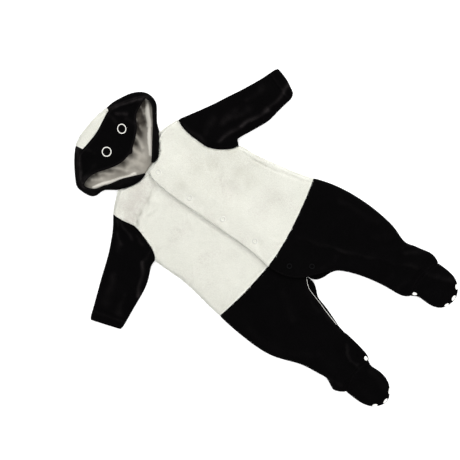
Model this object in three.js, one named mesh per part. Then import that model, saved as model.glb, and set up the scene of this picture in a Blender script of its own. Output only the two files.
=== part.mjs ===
// A baby's hooded plush pramsuit with feet, laid flat on its back.
// +Y runs from the feet to the hood, +X is the wearer's left, +Z is up. Millimetres.
// Every panel is a wall of cloth. Its plan comes from tables of cross-sections, and its
// height from one field for the whole garment, so neighbours meet level at each seam.
import * as THREE from 'three';

// ---------------------------------------------------------------- sizes
const PLUSH_WALL = 5.0;        // deep white plush: lining, ground cloth and pile
const VELOUR_WALL = 4.8;       // short black plush, wadded and lined
const JERSEY_WALL = 1.6;       // hood lining
const FLAT_TOP = 13.6;         // top of the two layers where they lie on each other
const ROLL_LEVEL = FLAT_TOP / 2;  // height of the outermost line of a rolled edge
const ROLL_WIDTH = 6.8;        // how far a rolled edge reaches in from the outline
const SEAM_GAP = 0.3;          // clearance between two pieces at a seam
const ON_EDGE = 0.05;          // a point this close to a rolled edge lies on it
const HOOD_RISE = 1.6;         // the hood lies over its lining, so it stands higher,
const HOOD_RISE_Y = [380, 402];  // growing between these two heights
// The left front lies over the right front by one wall. The lap dies out across these
// stretches: towards the side, above the crotch and up the hood.
const LAP = { rise: 5.4, side: [15, 62], crotch: [-22, 14], hood: [376, 396] };
const SLOPE_STEP = 0.5;        // reach over which a surface's slope is measured
const TINY = 1e-3;             // a share this small is at a corner
const WAIST_Y = 84.5;          // waist seam at the middle
const WAIST_RISE = 22;         // how much higher the seam is at the sides
const WAIST_HALF = 147;        // half width at the waist seam
const WAIST_POWER = 1.7;

// ---------------------------------------------------------------- cross-sections
// Each table has a row for each section, and its first line names the columns.
function table(columns, rows) {
  const names = columns.split(' ');
  return rows.map((row) => Object.fromEntries(names.map((name, i) => [name, row[i]])));
}

// Armholes, from the shoulder tip to the armpit, right and left of the wearer.
const ARMHOLE = table('rightX rightY leftX leftY', [
  [-103.0, 361.0, 99.0, 361.5],
  [-103.2, 358.8, 97.6, 359.4],
  [-103.3, 353.0, 94.6, 353.6],
  [-102.3, 338.0, 89.6, 340.0],
  [-98.5, 324.0, 87.4, 322.0],
  [-98.5, 311.0, 87.0, 304.0],
  [-104.0, 297.0, 87.0, 289.0],
  [-109.0, 280.0, 94.0, 274.0],
  [-115.5, 266.0, 103.5, 259.5],
  [-122.5, 257.8, 113.0, 250.5],
  [-127.0, 254.2, 120.2, 247.0],
  [-128.5, 253.0, 122.0, 246.0],
]);

// Body sides, from below the armpit to the waist.
const SIDES = table('rightX rightY leftX leftY', [
  [-130.0, 240.0, 125.0, 238.0],
  [-130.0, 220.0, 123.6, 221.0],
  [-129.3, 200.0, 127.3, 203.0],
  [-132.0, 180.0, 131.3, 180.0],
  [-135.3, 158.0, 136.0, 156.0],
  [-140.0, 134.0, 141.5, 131.0],
  [-142.7, 116.0, 146.0, 115.0],
  [-144.0, 105.7, 148.5, 106.9],
]);

// Top edges of the fronts and the back: shoulder, then neck. rightX runs inwards from
// the right shoulder, leftX from the left one, backX is the back's half neck.
const NECK = table('rightX rightY leftX leftY backX', [
  [-103.0, 361.0, 99.0, 361.5, 1.0],
  [-101.2, 362.1, 97.2, 362.6, 0.982],
  [-96.5, 364.7, 92.5, 365.1, 0.936],
  [-84.0, 370.3, 81.0, 369.8, 0.81],
  [-64.0, 378.0, 63.0, 376.0, 0.62],
  [-53.0, 367.5, 48.0, 364.5, 0.47],
  [-40.0, 359.0, 35.0, 354.5, 0.34],
  [-28.0, 353.0, 22.0, 349.5, 0.22],
  [-13.0, 352.7, 13.0, 350.5, 0.12],
  [-1.0, 352.2, 5.0, 351.5, 0.05],
  [10.0, 351.8, -2.0, 352.0, 0.0],
]);
const BACK_NECK_DIP = 4;       // the back neck seam sags this much at the middle

// Front edges of the two fronts, at the rows of ARMHOLE and then SIDES.
const RIGHT_EDGE_X = 10;       // the right front reaches this far under the left one,
const RIGHT_NECK_Y = 351.8;    // and ends here at the neck
const LEFT_EDGE = table('y x', [
  [352, -2], [350, -8], [341, -14], [325, -16], [300, -18], [150, -18], [120, -19], [86, -25],
]);

// Sleeves, from the armhole to the cuff: upper edge, lower edge, and how much of the
// armhole's curve the section still has.
const SLEEVE_LEFT = table('topX topY lowX lowY curve', [
  [99.0, 361.5, 122.0, 246.0, 1],
  [112.0, 353.0, 129.0, 255.0, 0.8],
  [126.0, 344.0, 137.0, 252.5, 0.5],
  [142.0, 334.0, 150.0, 245.0, 0.25],
  [160.0, 323.0, 167.0, 237.0, 0.1],
  [180.0, 313.0, 185.0, 227.5, 0],
  [200.0, 301.0, 203.0, 225.0, 0],
  [220.0, 291.0, 221.0, 222.0, 0],
  [240.0, 281.0, 233.0, 219.0, 0],
  [256.0, 275.0, 241.0, 217.0, -0.1],
  [271.0, 269.0, 250.0, 219.0, -0.16],
]);
const SLEEVE_RIGHT = table('topX topY lowX lowY curve', [
  [-103.0, 361.0, -128.5, 253.0, 1],
  [-112.0, 354.7, -137.0, 255.0, 0.8],
  [-124.0, 346.8, -148.0, 250.5, 0.5],
  [-140.0, 339.0, -160.0, 245.0, 0.25],
  [-160.0, 330.0, -173.0, 241.0, 0.1],
  [-180.0, 323.0, -187.0, 239.0, 0],
  [-200.0, 317.0, -203.0, 238.0, 0],
  [-220.0, 310.0, -221.0, 236.8, 0],
  [-240.0, 303.0, -237.0, 235.4, 0],
  [-260.0, 296.0, -250.0, 234.2, 0],
  [-278.0, 290.0, -261.0, 234.0, 0],
]);

// Legs from the waist to the ankle. The front's inner edge is the placket and then the
// inside leg, the back's is the centre seam, the crotch and the inside leg.
const LEG_RIGHT = table('outX outY frontX frontY backX backY', [
  [-144.0, 105.7, 10.0, 84.7, 0, 84.5],
  [-148.0, 80.0, 12.0, 62.0, 0, 62],
  [-150.5, 55.0, 10.0, 42.0, 0, 40],
  [-152.0, 30.0, -1.5, 20.0, 0, 20],
  [-152.0, 8.0, -15.0, 9.0, 0, 2.5],
  [-149.5, -12.0, -20.5, -5.0, -12.0, -11],
  [-143.0, -32.0, -25.0, -22.0, -20.5, -18],
  [-136.0, -50.0, -31.0, -38.0, -23.5, -34],
  [-131.5, -66.0, -36.5, -54.0, -31.0, -54],
  [-130.0, -82.0, -41.5, -72.0, -38.0, -72],
  [-128.5, -98.0, -43.2, -91.0, -43.2, -91],
  [-126.5, -110.0, -45.5, -110.0, -45.5, -110],
  [-131.5, -119.0, -48.2, -125.0, -48.2, -125],
  [-138.5, -131.0, -51.5, -139.0, -51.5, -139],
  [-135.0, -142.5, -54.0, -148.5, -54.0, -148.5],
  [-128.0, -152.0, -60.0, -154.0, -60.0, -154],
]);
const LEG_LEFT = table('outX outY frontX frontY backX backY', [
  [148.5, 106.9, -25.0, 86.0, 0, 84.5],
  [155.5, 86.0, -24.0, 62.0, 0, 62],
  [161.0, 62.0, -19.0, 43.0, 0, 40],
  [164.0, 38.0, -9.0, 26.0, 0, 20],
  [165.0, 12.0, 5.0, 13.5, 0, 2.5],
  [164.5, -10.0, 20.0, -0.5, 17.0, -8.5],
  [162.5, -30.0, 36.0, -14.0, 36.0, -14],
  [160.0, -48.0, 44.0, -29.0, 44.0, -29],
  [156.0, -64.0, 51.5, -48.0, 51.5, -48],
  [149.5, -77.0, 57.5, -70.0, 57.5, -70],
  [145.5, -93.0, 61.5, -92.0, 61.5, -92],
  [151.0, -104.0, 63.8, -110.0, 63.8, -110],
  [152.5, -118.0, 64.2, -125.0, 64.2, -125],
  [157.5, -135.0, 66.0, -138.0, 66.0, -138],
  [155.5, -148.5, 69.5, -145.0, 69.5, -145],
  [149.5, -158.0, 74.5, -151.0, 74.5, -151],
]);
const ANKLE_RISE = 9;          // the ankle seam over the instep bows up by this much
const HEEL_RISE = 46;          // the heel seam underneath bows up by this much

// Feet, from the ankle seam's ends to the toe.
const FOOT_RIGHT = table('outX outY inX inY', [
  [-128.0, -152.0, -60.0, -154.0],
  [-128.2, -161.0, -66.0, -160.5],
  [-129.0, -171.0, -65.3, -169.5],
  [-129.4, -182.0, -65.0, -180.0],
  [-128.0, -193.0, -66.5, -191.5],
  [-124.4, -203.5, -70.5, -201.5],
  [-118.2, -212.0, -77.0, -210.0],
  [-110.0, -218.3, -86.0, -216.6],
  [-102.0, -221.0, -94.0, -220.4],
]);
const FOOT_LEFT = table('outX outY inX inY', [
  [149.5, -158.0, 74.5, -151.0],
  [149.0, -167.0, 81.0, -160.0],
  [148.6, -177.0, 81.4, -170.0],
  [147.6, -187.0, 80.4, -182.0],
  [144.5, -197.0, 81.5, -195.0],
  [139.5, -205.0, 86.0, -205.0],
  [132.0, -212.0, 93.0, -212.0],
  [124.0, -215.9, 103.0, -215.8],
  [117.0, -217.6, 110.0, -217.5],
]);

// Hood: sections up and down its face panel, from the brim to the seam above it and on
// to the outermost line of the hood.
const FACE = table('x brimY seamX seamY rimX rimY', [
  [-90.5, 430.0, -92.0, 436.0, -101.0, 431.0],
  [-86.0, 431.5, -88.0, 442.0, -99.8, 441.0],
  [-78.0, 431.8, -80.0, 449.5, -91.0, 449.0],
  [-69.0, 430.2, -70.0, 457.5, -79.5, 458.5],
  [-60.0, 426.0, -60.0, 464.0, -68.0, 467.5],
  [-50.0, 418.0, -50.0, 469.0, -55.0, 476.0],
  [-40.0, 410.0, -39.0, 468.5, -41.5, 483.0],
  [-20.0, 397.5, -20.0, 466.0, -20.0, 487.0],
  [0.0, 395.0, 0.0, 464.5, 0.0, 486.2],
  [20.0, 399.0, 20.0, 467.5, 22.0, 482.5],
  [42.0, 408.5, 43.0, 471.0, 44.5, 475.5],
  [52.0, 416.0, 52.0, 465.0, 57.0, 473.5],
  [62.0, 425.3, 62.0, 459.5, 71.0, 466.2],
  [72.0, 427.0, 72.0, 452.5, 84.0, 459.5],
  [82.0, 428.0, 82.0, 445.0, 95.0, 451.0],
  [91.0, 428.2, 90.5, 438.5, 103.0, 441.0],
  [95.5, 428.0, 96.0, 432.0, 107.0, 430.0],
]);
const CROWN_FROM = 6;          // rows of FACE between which the white crown strip lies
const CROWN_TO = 10;
// The hood's front edges, from the brim's corners down to the neck.
const CHEEK_RIGHT = table('inX inY rimX rimY', [
  [-89.5, 422.5, -101.0, 419.0],
  [-86.0, 414.5, -98.6, 406.5],
  [-80.0, 406.5, -89.0, 401.2],
  [-73.0, 402.5, -78.5, 399.5],
  [-64.0, 396.0, -72.0, 391.0],
  [-52.0, 389.0, -64.0, 378.0],
  [-40.0, 381.0, -53.0, 367.5],
  [-30.0, 371.5, -40.0, 359.0],
  [-20.0, 362.0, -28.0, 353.0],
  [-12.0, 355.6, -13.0, 352.7],
]);
const CHEEK_LEFT = table('inX inY rimX rimY', [
  [97.0, 421.0, 105.6, 417.5],
  [93.0, 413.0, 100.6, 407.2],
  [86.0, 406.5, 92.0, 401.2],
  [77.0, 399.5, 81.0, 393.7],
  [66.0, 391.5, 71.0, 386.5],
  [54.0, 384.0, 63.0, 376.0],
  [40.0, 375.0, 48.0, 364.5],
  [27.0, 367.0, 35.0, 354.5],
  [16.0, 360.0, 22.0, 349.5],
  [8.0, 355.2, 13.0, 350.5],
]);
const NOTCH = 6;               // cheek rows before this one lie on the hood's outline
// Lining that shows inside the hood.
const LINING = table('y rightX leftX', [
  [355, -16, 14], [364, -38, 36], [374, -46, 46], [384, -58, 58], [394, -64, 70],
  [402, -68, 79], [411, -89, 92], [421, -92, 98], [432, -91, 97], [442, -84, 88],
]);
const LINING_LEVEL = 5.4;      // underside of the lining, just above the hood's back

// Soft folds in the upper layer: a ridge where height is above 0, else a trough. They
// die out between these two distances from a rolled edge.
const FOLD_FADE = [4, 16];
const FOLDS = table('x0 y0 x1 y1 width height', [
  [50, 60, 83, -35, 9, 1.6],
  [83, -35, 120, -132, 9, 1.6],
  [100, -140, 148, -140, 6, -2.2],
  [-70, -112, -82, -150, 6, 1.6],
  [-60, -150, -125, -146, 6, -2.0],
  [110, 275, 200, 236, 10, 1.8],
  [140, 330, 215, 285, 14, 1.2],
  [-140, 278, -190, 248, 10, 1.8],
  [-112, 346, -138, 318, 8, 1.2],
  [-96, 318, -24, 321, 6, -1.3],
  [122, -150, 136, -195, 8, 1.6],
  [-75, -165, -85, -200, 9, 1.4],
  [48, 464, 92, 434, 6, 1.4],
  [-88, 438, -52, 466, 6, 1.4],
  [44, 452, 52, 430, 7, 1.2],
  [-40, 60, -120, 20, 16, 1.0],
]);

// ---------------------------------------------------------------- the height field
const UP = new THREE.Vector3(0, 0, 1);
const point = (x, y) => new THREE.Vector2(x, y);
const pairs = (rows, x, y) => rows.map((row) => point(row[x], row[y]));
const smoothstep = (value, from, to) => THREE.MathUtils.smoothstep(value, from, to);

// The rolled edges, each with the garment on its right-hand side. Cuffs, the placket
// and the crotch are cut edges, so they aren't in these lines.
const hoodRim = [
  ...pairs(CHEEK_RIGHT.slice(0, NOTCH), 'rimX', 'rimY').reverse(),
  ...pairs(FACE, 'rimX', 'rimY'),
  ...pairs(CHEEK_LEFT.slice(0, NOTCH), 'rimX', 'rimY'),
];
const shoulderRight = pairs(NECK.slice(1, 4), 'rightX', 'rightY');
const shoulderLeft = pairs(NECK.slice(1, 4), 'leftX', 'leftY').reverse();
const rolledEdges = [
  [
    ...pairs(SLEEVE_RIGHT, 'topX', 'topY').reverse(), ...shoulderRight,
    ...hoodRim, ...shoulderLeft, ...pairs(SLEEVE_LEFT, 'topX', 'topY'),
  ],
  [
    ...pairs(SLEEVE_LEFT, 'lowX', 'lowY').reverse(),
    ...pairs(SIDES, 'leftX', 'leftY'), ...pairs(LEG_LEFT.slice(1), 'outX', 'outY'),
    ...pairs(FOOT_LEFT.slice(1), 'outX', 'outY'),
    ...pairs(FOOT_LEFT, 'inX', 'inY').reverse(),
    ...pairs(LEG_LEFT.slice(6, -1), 'frontX', 'frontY').reverse(),
  ],
  [
    ...pairs(LEG_RIGHT.slice(10, -1), 'frontX', 'frontY'),
    ...pairs(FOOT_RIGHT, 'inX', 'inY'),
    ...pairs(FOOT_RIGHT, 'outX', 'outY').reverse(),
    ...pairs(LEG_RIGHT.slice(1, -1), 'outX', 'outY').reverse(),
    ...pairs(SIDES, 'rightX', 'rightY').reverse(),
    ...pairs(SLEEVE_RIGHT, 'lowX', 'lowY'),
  ],
];

// Distance from the nearest rolled edge, and the way in from it.
function edgeAt(p) {
  let best = Infinity;
  const inward = point(0, 0);
  for (const line of rolledEdges) {
    for (let i = 0; i + 1 < line.length; i++) {
      const along = line[i + 1].clone().sub(line[i]);
      const share = THREE.MathUtils.clamp(
        p.clone().sub(line[i]).dot(along) / along.lengthSq(), 0, 1);
      const away = p.clone().sub(line[i].clone().addScaledVector(along, share));
      const distance = away.length();
      if (distance < best) {
        best = distance;
        inward.copy(distance > ON_EDGE ? away : rightOf(line, i, share)).normalize();
      }
    }
  }
  return { distance: best, inward };
}

// The right-hand normal of a line at a point of its segment i, averaged at a corner.
function rightOf(line, i, share) {
  const normal = (k) => {
    const along = line[k + 1].clone().sub(line[k]).normalize();
    return point(along.y, -along.x);
  };
  const result = normal(i);
  if (share < TINY && i > 0) result.add(normal(i - 1));
  if (share > 1 - TINY && i + 2 < line.length) result.add(normal(i + 1));
  return result;
}

function foldHeight(x, y) {
  let height = 0;
  for (const fold of FOLDS) {
    const along = point(fold.x1 - fold.x0, fold.y1 - fold.y0);
    const share = THREE.MathUtils.clamp(
      point(x - fold.x0, y - fold.y0).dot(along) / along.lengthSq(), 0, 1);
    const distance = Math.hypot(
      x - fold.x0 - share * along.x, y - fold.y0 - share * along.y);
    height += fold.height * Math.exp(-((distance / fold.width) ** 2));
  }
  return height;
}

const crown = (x, y, distance) => FLAT_TOP + HOOD_RISE * smoothstep(y, ...HOOD_RISE_Y)
  + foldHeight(x, y) * smoothstep(distance, ...FOLD_FADE);
const noLap = () => 0;
// The left front, its leg and its side of the hood ride up over the right front.
const lap = (x, y) => LAP.rise * (1 - smoothstep(x, ...LAP.side))
  * smoothstep(y, ...LAP.crotch) * (1 - smoothstep(y, ...LAP.hood));

// A point of the upper or lower outer surface above plan point p, with its normal.
function surface(p, upper, lift) {
  const { distance, inward } = edgeAt(p);
  const out = new THREE.Vector3(-inward.x, -inward.y, 0);
  if (distance <= ON_EDGE) {
    const split = (upper ? SEAM_GAP : -SEAM_GAP) / 2;
    return { position: new THREE.Vector3(p.x, p.y, ROLL_LEVEL + split), normal: out };
  }
  const share = Math.min(distance / ROLL_WIDTH, 1);
  const rise = Math.sqrt(1 - (1 - share) ** 2);
  const steepness = share < 1 ? (1 - share) / ROLL_WIDTH / rise : 0;
  const full = (x, y) => (upper ? crown(x, y, distance) + lift(x, y) : 0);
  const height = full(p.x, p.y) - ROLL_LEVEL;
  const slope = (dx, dy) =>
    (full(p.x + dx, p.y + dy) - full(p.x - dx, p.y - dy)) / (2 * SLOPE_STEP);
  const slopeX = slope(SLOPE_STEP, 0);
  const slopeY = slope(0, SLOPE_STEP);
  const gradientX = height * steepness * inward.x + rise * slopeX;
  const gradientY = height * steepness * inward.y + rise * slopeY;
  const sign = upper ? 1 : -1;
  return {
    position: new THREE.Vector3(p.x, p.y, ROLL_LEVEL + height * rise),
    normal: new THREE.Vector3(-gradientX * sign, -gradientY * sign, sign).normalize(),
  };
}

// ---------------------------------------------------------------- walls of cloth
const materials = {
  plush: new THREE.MeshStandardMaterial({ color: '#eeeee4', roughness: 0.95, metalness: 0 }),
  velour: new THREE.MeshStandardMaterial({ color: '#0a0a0b', roughness: 0.9, metalness: 0 }),
  jersey: new THREE.MeshStandardMaterial({ color: '#d3cfc7', roughness: 0.9, metalness: 0 }),
  thread: new THREE.MeshStandardMaterial({ color: '#f2f1ea', roughness: 0.7, metalness: 0 }),
  snapWhite: new THREE.MeshStandardMaterial({ color: '#e4e4de', roughness: 0.4, metalness: 0 }),
  snapBlack: new THREE.MeshStandardMaterial({ color: '#17171a', roughness: 0.4, metalness: 0 }),
};
const group = new THREE.Group();
group.name = 'pramsuit';

function add(name, geometry, material) {
  const mesh = new THREE.Mesh(geometry, material);
  mesh.name = name;
  group.add(mesh);
  return mesh;
}

// Pulls the cut edges of a plan grid in by half a seam's gap. Where a seam ends on a
// rolled edge, its corner moves along that edge instead. Heights and normals are taken
// before the pull, so the two sides of a seam agree.
function pullIn(grid) {
  const pulled = grid.map((row) => row.map((p) => p.clone()));
  const rows = grid.length - 1;
  const columns = grid[0].length - 1;
  const loop = [];
  for (let j = 0; j < columns; j++) loop.push([0, j]);
  for (let i = 0; i < rows; i++) loop.push([i, columns]);
  for (let j = columns; j > 0; j--) loop.push([rows, j]);
  for (let i = rows; i > 0; i--) loop.push([i, 0]);
  const points = loop.map(([i, j]) => grid[i][j].clone());
  const onEdge = points.map((p) => edgeAt(p).distance <= ON_EDGE);
  const area = points.reduce((sum, p, k) => sum + p.cross(points[(k + 1) % points.length]), 0);
  const turn = Math.sign(area);
  loop.forEach(([i, j], k) => {
    const last = (k + points.length - 1) % points.length;
    const next = (k + 1) % points.length;
    const move = point(0, 0);
    if (!onEdge[k]) {
      for (const [a, b] of [[last, k], [k, next]]) {
        const along = points[b].clone().sub(points[a]).normalize();
        move.add(point(-along.y, along.x).multiplyScalar(turn));
      }
      move.normalize();
    } else if (onEdge[last] !== onEdge[next]) {
      move.copy(points[onEdge[last] ? last : next]).sub(points[k]).normalize();
    }
    pulled[i][j].addScaledVector(move, SEAM_GAP / 2);
  });
  return pulled;
}

// Surface points of a plan grid, with its cut edges pulled in.
function surfaceGrid(grid, upper, lift) {
  const pulled = pullIn(grid);
  return grid.map((row, i) => row.map((p, j) => {
    const { position, normal } = surface(p, upper, lift);
    position.setX(pulled[i][j].x).setY(pulled[i][j].y);
    return { position, normal };
  }));
}

const RANK_SKEW = 0.37;        // settles ties between points at the same height on the plan

// A closed wall from a grid of surface points: its outer face, an inner face one
// thickness inside, and the faces that join them at the rims.
function wallGeometry(grid, thickness, closedRound = false) {
  const rows = grid.length;
  const columns = grid[0].length;
  const positions = [];
  for (const depth of [0, thickness]) {
    for (const row of grid) {
      for (const { position, normal } of row) {
        positions.push(...position.clone().addScaledVector(normal, -depth));
      }
    }
  }
  const outer = (i, j) => i * columns + (j % columns);
  const inner = (i, j) => rows * columns + outer(i, j);
  const triangles = [];
  const corner = (k) => new THREE.Vector3(...positions.slice(3 * k, 3 * k + 3));
  const split = (a, b, c, d, straight) => triangles.push(
    ...(straight ? [[a, b, c], [a, c, d]] : [[a, b, d], [b, c, d]]));
  // The faces split along the shorter diagonal. A rim's faces, from a on the outer face
  // to d beside it on that face, split by place, so both sides of a seam split alike.
  const quad = (a, b, c, d) => split(a, b, c, d,
    corner(a).distanceTo(corner(c)) <= corner(b).distanceTo(corner(d)));
  const rank = (k) => corner(k).y + RANK_SKEW * corner(k).x;
  const rimQuad = (a, b, c, d) => split(a, b, c, d, rank(a) > rank(d));
  const spans = closedRound ? columns : columns - 1;
  for (let i = 0; i + 1 < rows; i++) {
    for (let j = 0; j < spans; j++) {
      quad(outer(i, j), outer(i, j + 1), outer(i + 1, j + 1), outer(i + 1, j));
      quad(inner(i, j), inner(i + 1, j), inner(i + 1, j + 1), inner(i, j + 1));
    }
  }
  for (let j = 0; j < spans; j++) {
    const end = rows - 1;
    rimQuad(outer(0, j), inner(0, j), inner(0, j + 1), outer(0, j + 1));
    rimQuad(outer(end, j + 1), inner(end, j + 1), inner(end, j), outer(end, j));
  }
  if (!closedRound) {
    const last = columns - 1;
    for (let i = 0; i + 1 < rows; i++) {
      rimQuad(outer(i + 1, 0), inner(i + 1, 0), inner(i, 0), outer(i, 0));
      rimQuad(outer(i, last), inner(i, last), inner(i + 1, last), outer(i + 1, last));
    }
  }
  return closedGeometry(positions, triangles);
}

// An indexed geometry whose faces point outwards.
function closedGeometry(positions, triangles) {
  const corner = (k) => new THREE.Vector3(...positions.slice(3 * k, 3 * k + 3));
  const volume = triangles.reduce(
    (sum, [a, b, c]) => sum + corner(a).dot(corner(b).cross(corner(c))), 0);
  const facing = volume > 0 ? triangles : triangles.map(([a, b, c]) => [a, c, b]);
  const geometry = new THREE.BufferGeometry();
  geometry.setAttribute('position', new THREE.Float32BufferAttribute(positions, 3));
  geometry.setIndex(facing.flat());
  geometry.computeVertexNormals();
  return geometry;
}

// A panel that lies in the upper or the lower layer.
function panel(name, grid, { upper = true, wall = VELOUR_WALL, lift = noLap, material }) {
  return add(name, wallGeometry(surfaceGrid(grid, upper, lift), wall), material);
}

// Plan grid between two edges: a row for each section, a column for each share of the
// way from the first edge to the second. bow(share) pushes a row's points along +Y.
function ruled(from, to, shares, bow = () => 0) {
  return from.map((start, i) => shares.map((share) => {
    const p = start.clone().lerp(to[i], share);
    p.y += bow(i, share);
    return p;
  }));
}

const COLUMNS = [0, 0.016, 0.06, 0.18, 0.34, 0.5, 0.66, 0.82, 0.94, 0.984, 1];
const arch = (share) => 4 * share * (1 - share);
const waistY = (x) => WAIST_Y + WAIST_RISE * (Math.abs(x) / WAIST_HALF) ** WAIST_POWER;

// Straightens a share of each row's own line towards a head row and a tail row whose
// points are known, so the panel starts and ends exactly on its neighbours.
function fitEnds(grid, head, tail, reach) {
  const rows = grid.length - 1;
  const first = grid[0].map((p) => p.clone());
  const last = grid[rows].map((p) => p.clone());
  grid.forEach((row, i) => row.forEach((p, j) => {
    if (head) p.addScaledVector(head[j].clone().sub(first[j]), fade(i, reach));
    if (tail) p.addScaledVector(tail[j].clone().sub(last[j]), fade(rows - i, reach));
  }));
  return grid;
}
const fade = (steps, reach) => 1 - smoothstep(steps, 0, reach);

// ---------------------------------------------------------------- body
const bodyRight = [...pairs(ARMHOLE, 'rightX', 'rightY'), ...pairs(SIDES, 'rightX', 'rightY')];
const bodyLeft = [...pairs(ARMHOLE, 'leftX', 'leftY'), ...pairs(SIDES, 'leftX', 'leftY')];
const waistRow = (fromX, toX) => COLUMNS.map((share) => {
  const x = THREE.MathUtils.lerp(fromX, toX, share);
  return point(x, waistY(x));
});

function leftEdgeX(y) {
  const above = LEFT_EDGE.findIndex((row) => row.y <= y);
  if (above <= 0) return above === 0 ? LEFT_EDGE[0].x : LEFT_EDGE.at(-1).x;
  const [upperRow, lowerRow] = [LEFT_EDGE[above - 1], LEFT_EDGE[above]];
  const share = (upperRow.y - y) / (upperRow.y - lowerRow.y);
  return THREE.MathUtils.lerp(upperRow.x, lowerRow.x, share);
}

// The front edge's points opposite each row of a side: spread evenly from neck to waist.
function frontEdge(side, neckY, endY, xAt) {
  const span = side[0].y - side.at(-1).y;
  return side.map((p) => {
    const y = neckY - ((side[0].y - p.y) / span) * (neckY - endY);
    return point(xAt(y), y);
  });
}

const RIGHT_WAIST = SIDES.at(-1).rightX;
const LEFT_WAIST = SIDES.at(-1).leftX;
const LEFT_EDGE_WAIST = LEG_LEFT[0].frontX;
// Rows over which the shape of each end seam dies out.
const NECK_REACH = 9;
const WAIST_REACH = 4;
const INSTEP_REACH = 4;
const HEEL_REACH = 8;
const SOLE_REACH = 7;

function fronts() {
  const rightEdge = frontEdge(
    bodyRight, RIGHT_NECK_Y, waistY(RIGHT_EDGE_X), () => RIGHT_EDGE_X);
  const right = ruled(bodyRight, rightEdge, COLUMNS);
  fitEnds(right, pairs(NECK, 'rightX', 'rightY'), waistRow(RIGHT_WAIST, RIGHT_EDGE_X),
    NECK_REACH);
  panel('front_right', right, { wall: PLUSH_WALL, material: materials.plush });
  const leftEdge = frontEdge(
    bodyLeft, LEFT_EDGE[0].y, waistY(LEFT_EDGE_WAIST), leftEdgeX);
  const left = ruled(bodyLeft, leftEdge, COLUMNS);
  fitEnds(left, pairs(NECK, 'leftX', 'leftY'), waistRow(LEFT_WAIST, LEFT_EDGE_WAIST),
    NECK_REACH);
  panel('front_left', left, { wall: PLUSH_WALL, lift: lap, material: materials.plush });
}

// Top edge of the back: the shoulders, then the neck seam between their two notches.
const NOTCH_ROW = 4;           // row of NECK where the shoulder ends
function backTopRow() {
  const notchRow = NECK[NOTCH_ROW];
  const notches = {
    right: point(notchRow.rightX, notchRow.rightY), left: point(notchRow.leftX, notchRow.leftY),
  };
  const half = (side) => NECK.map((row, i) => {
    if (i <= NOTCH_ROW) return point(row[`${side}X`], row[`${side}Y`]);
    const x = (row.backX / notchRow.backX) * notches[side].x;
    const share = (x - notches.right.x) / (notches.left.x - notches.right.x);
    const y = THREE.MathUtils.lerp(notches.right.y, notches.left.y, share);
    return point(x, y - BACK_NECK_DIP * arch(share));
  });
  return [...half('right'), ...half('left').reverse().slice(1)];
}

function back() {
  const shares = [
    ...COLUMNS.map((share) => share * 0.5),
    ...COLUMNS.slice().reverse().slice(1).map((share) => 1 - share * 0.5),
  ];
  const grid = ruled(bodyRight, bodyLeft, shares);
  const tail = [...waistRow(RIGHT_WAIST, 0), ...waistRow(LEFT_WAIST, 0).reverse().slice(1)];
  fitEnds(grid, backTopRow(), tail, NECK_REACH);
  panel('back_body', grid, { upper: false, wall: PLUSH_WALL, material: materials.plush });
}

// ---------------------------------------------------------------- sleeves
// A sleeve is one flat tube: its upper and lower surfaces share the rolled edges.
function sleeve(name, sections, armhole) {
  const lengths = [0];
  for (let i = 1; i < armhole.length; i++) {
    lengths.push(lengths[i - 1] + armhole[i].distanceTo(armhole[i - 1]));
  }
  const shares = lengths.map((length) => length / lengths.at(-1));
  const chord = shares.map((share) => armhole[0].clone().lerp(armhole.at(-1), share));
  const grid = sections.map((row) => shares.map((share, j) => {
    const p = point(row.topX, row.topY).lerp(point(row.lowX, row.lowY), share);
    return p.addScaledVector(armhole[j].clone().sub(chord[j]), row.curve);
  }));
  const low = surfaceGrid(grid, false, noLap);
  const ring = surfaceGrid(grid, true, noLap).map((top, i) => {
    for (const edge of [top[0], top.at(-1)]) edge.position.z = ROLL_LEVEL;
    return [...top, ...low[i].slice(1, -1).reverse()];
  });
  add(name, wallGeometry(ring, VELOUR_WALL, true), materials.velour);
}

// ---------------------------------------------------------------- legs and feet
function leg(side, rows, feet) {
  const out = pairs(rows, 'outX', 'outY');
  const frontIn = pairs(rows, 'frontX', 'frontY');
  const backIn = pairs(rows, 'backX', 'backY');
  const lift = side === 'left' ? lap : noLap;
  const archRow = (rise) => COLUMNS.map((share) => {
    const p = out.at(-1).clone().lerp(frontIn.at(-1), share);
    p.y += rise * arch(share);
    return p;
  });
  const front = fitEnds(ruled(out, frontIn, COLUMNS),
    waistRow(out[0].x, frontIn[0].x), archRow(ANKLE_RISE), WAIST_REACH);
  panel(`leg_front_${side}`, front, { lift, material: materials.velour });
  const rear = fitEnds(ruled(out, backIn, COLUMNS), waistRow(out[0].x, 0), null, WAIST_REACH);
  fitEnds(rear, null, archRow(HEEL_RISE), HEEL_REACH);
  panel(`leg_back_${side}`, rear, { upper: false, material: materials.velour });
  const footOut = pairs(feet, 'outX', 'outY');
  const footIn = pairs(feet, 'inX', 'inY');
  const upper = fitEnds(
    ruled(footOut, footIn, COLUMNS), archRow(ANKLE_RISE), null, INSTEP_REACH);
  panel(`foot_upper_${side}`, upper, { material: materials.velour });
  const sole = fitEnds(
    ruled(footOut, footIn, COLUMNS), archRow(HEEL_RISE), null, SOLE_REACH);
  panel(`sole_${side}`, sole, { upper: false, material: materials.velour });
}

// White facing that shows as a narrow strip along the right leg's front edge.
const FACING_WIDTH = 1.7;
const FACING_WALL = 4.4;
function facing() {
  const rows = LEG_RIGHT.slice(3, 10);
  const inner = pairs(rows, 'frontX', 'frontY');
  const outer = inner.map((p, i) => {
    const along = inner[Math.min(i + 1, inner.length - 1)].clone()
      .sub(inner[Math.max(i - 1, 0)]).normalize();
    return p.clone().addScaledVector(point(-along.y, along.x), FACING_WIDTH + SEAM_GAP);
  });
  panel('facing_edge', ruled(inner, outer, [0, 1]),
    { wall: FACING_WALL, material: materials.thread });
}

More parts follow.
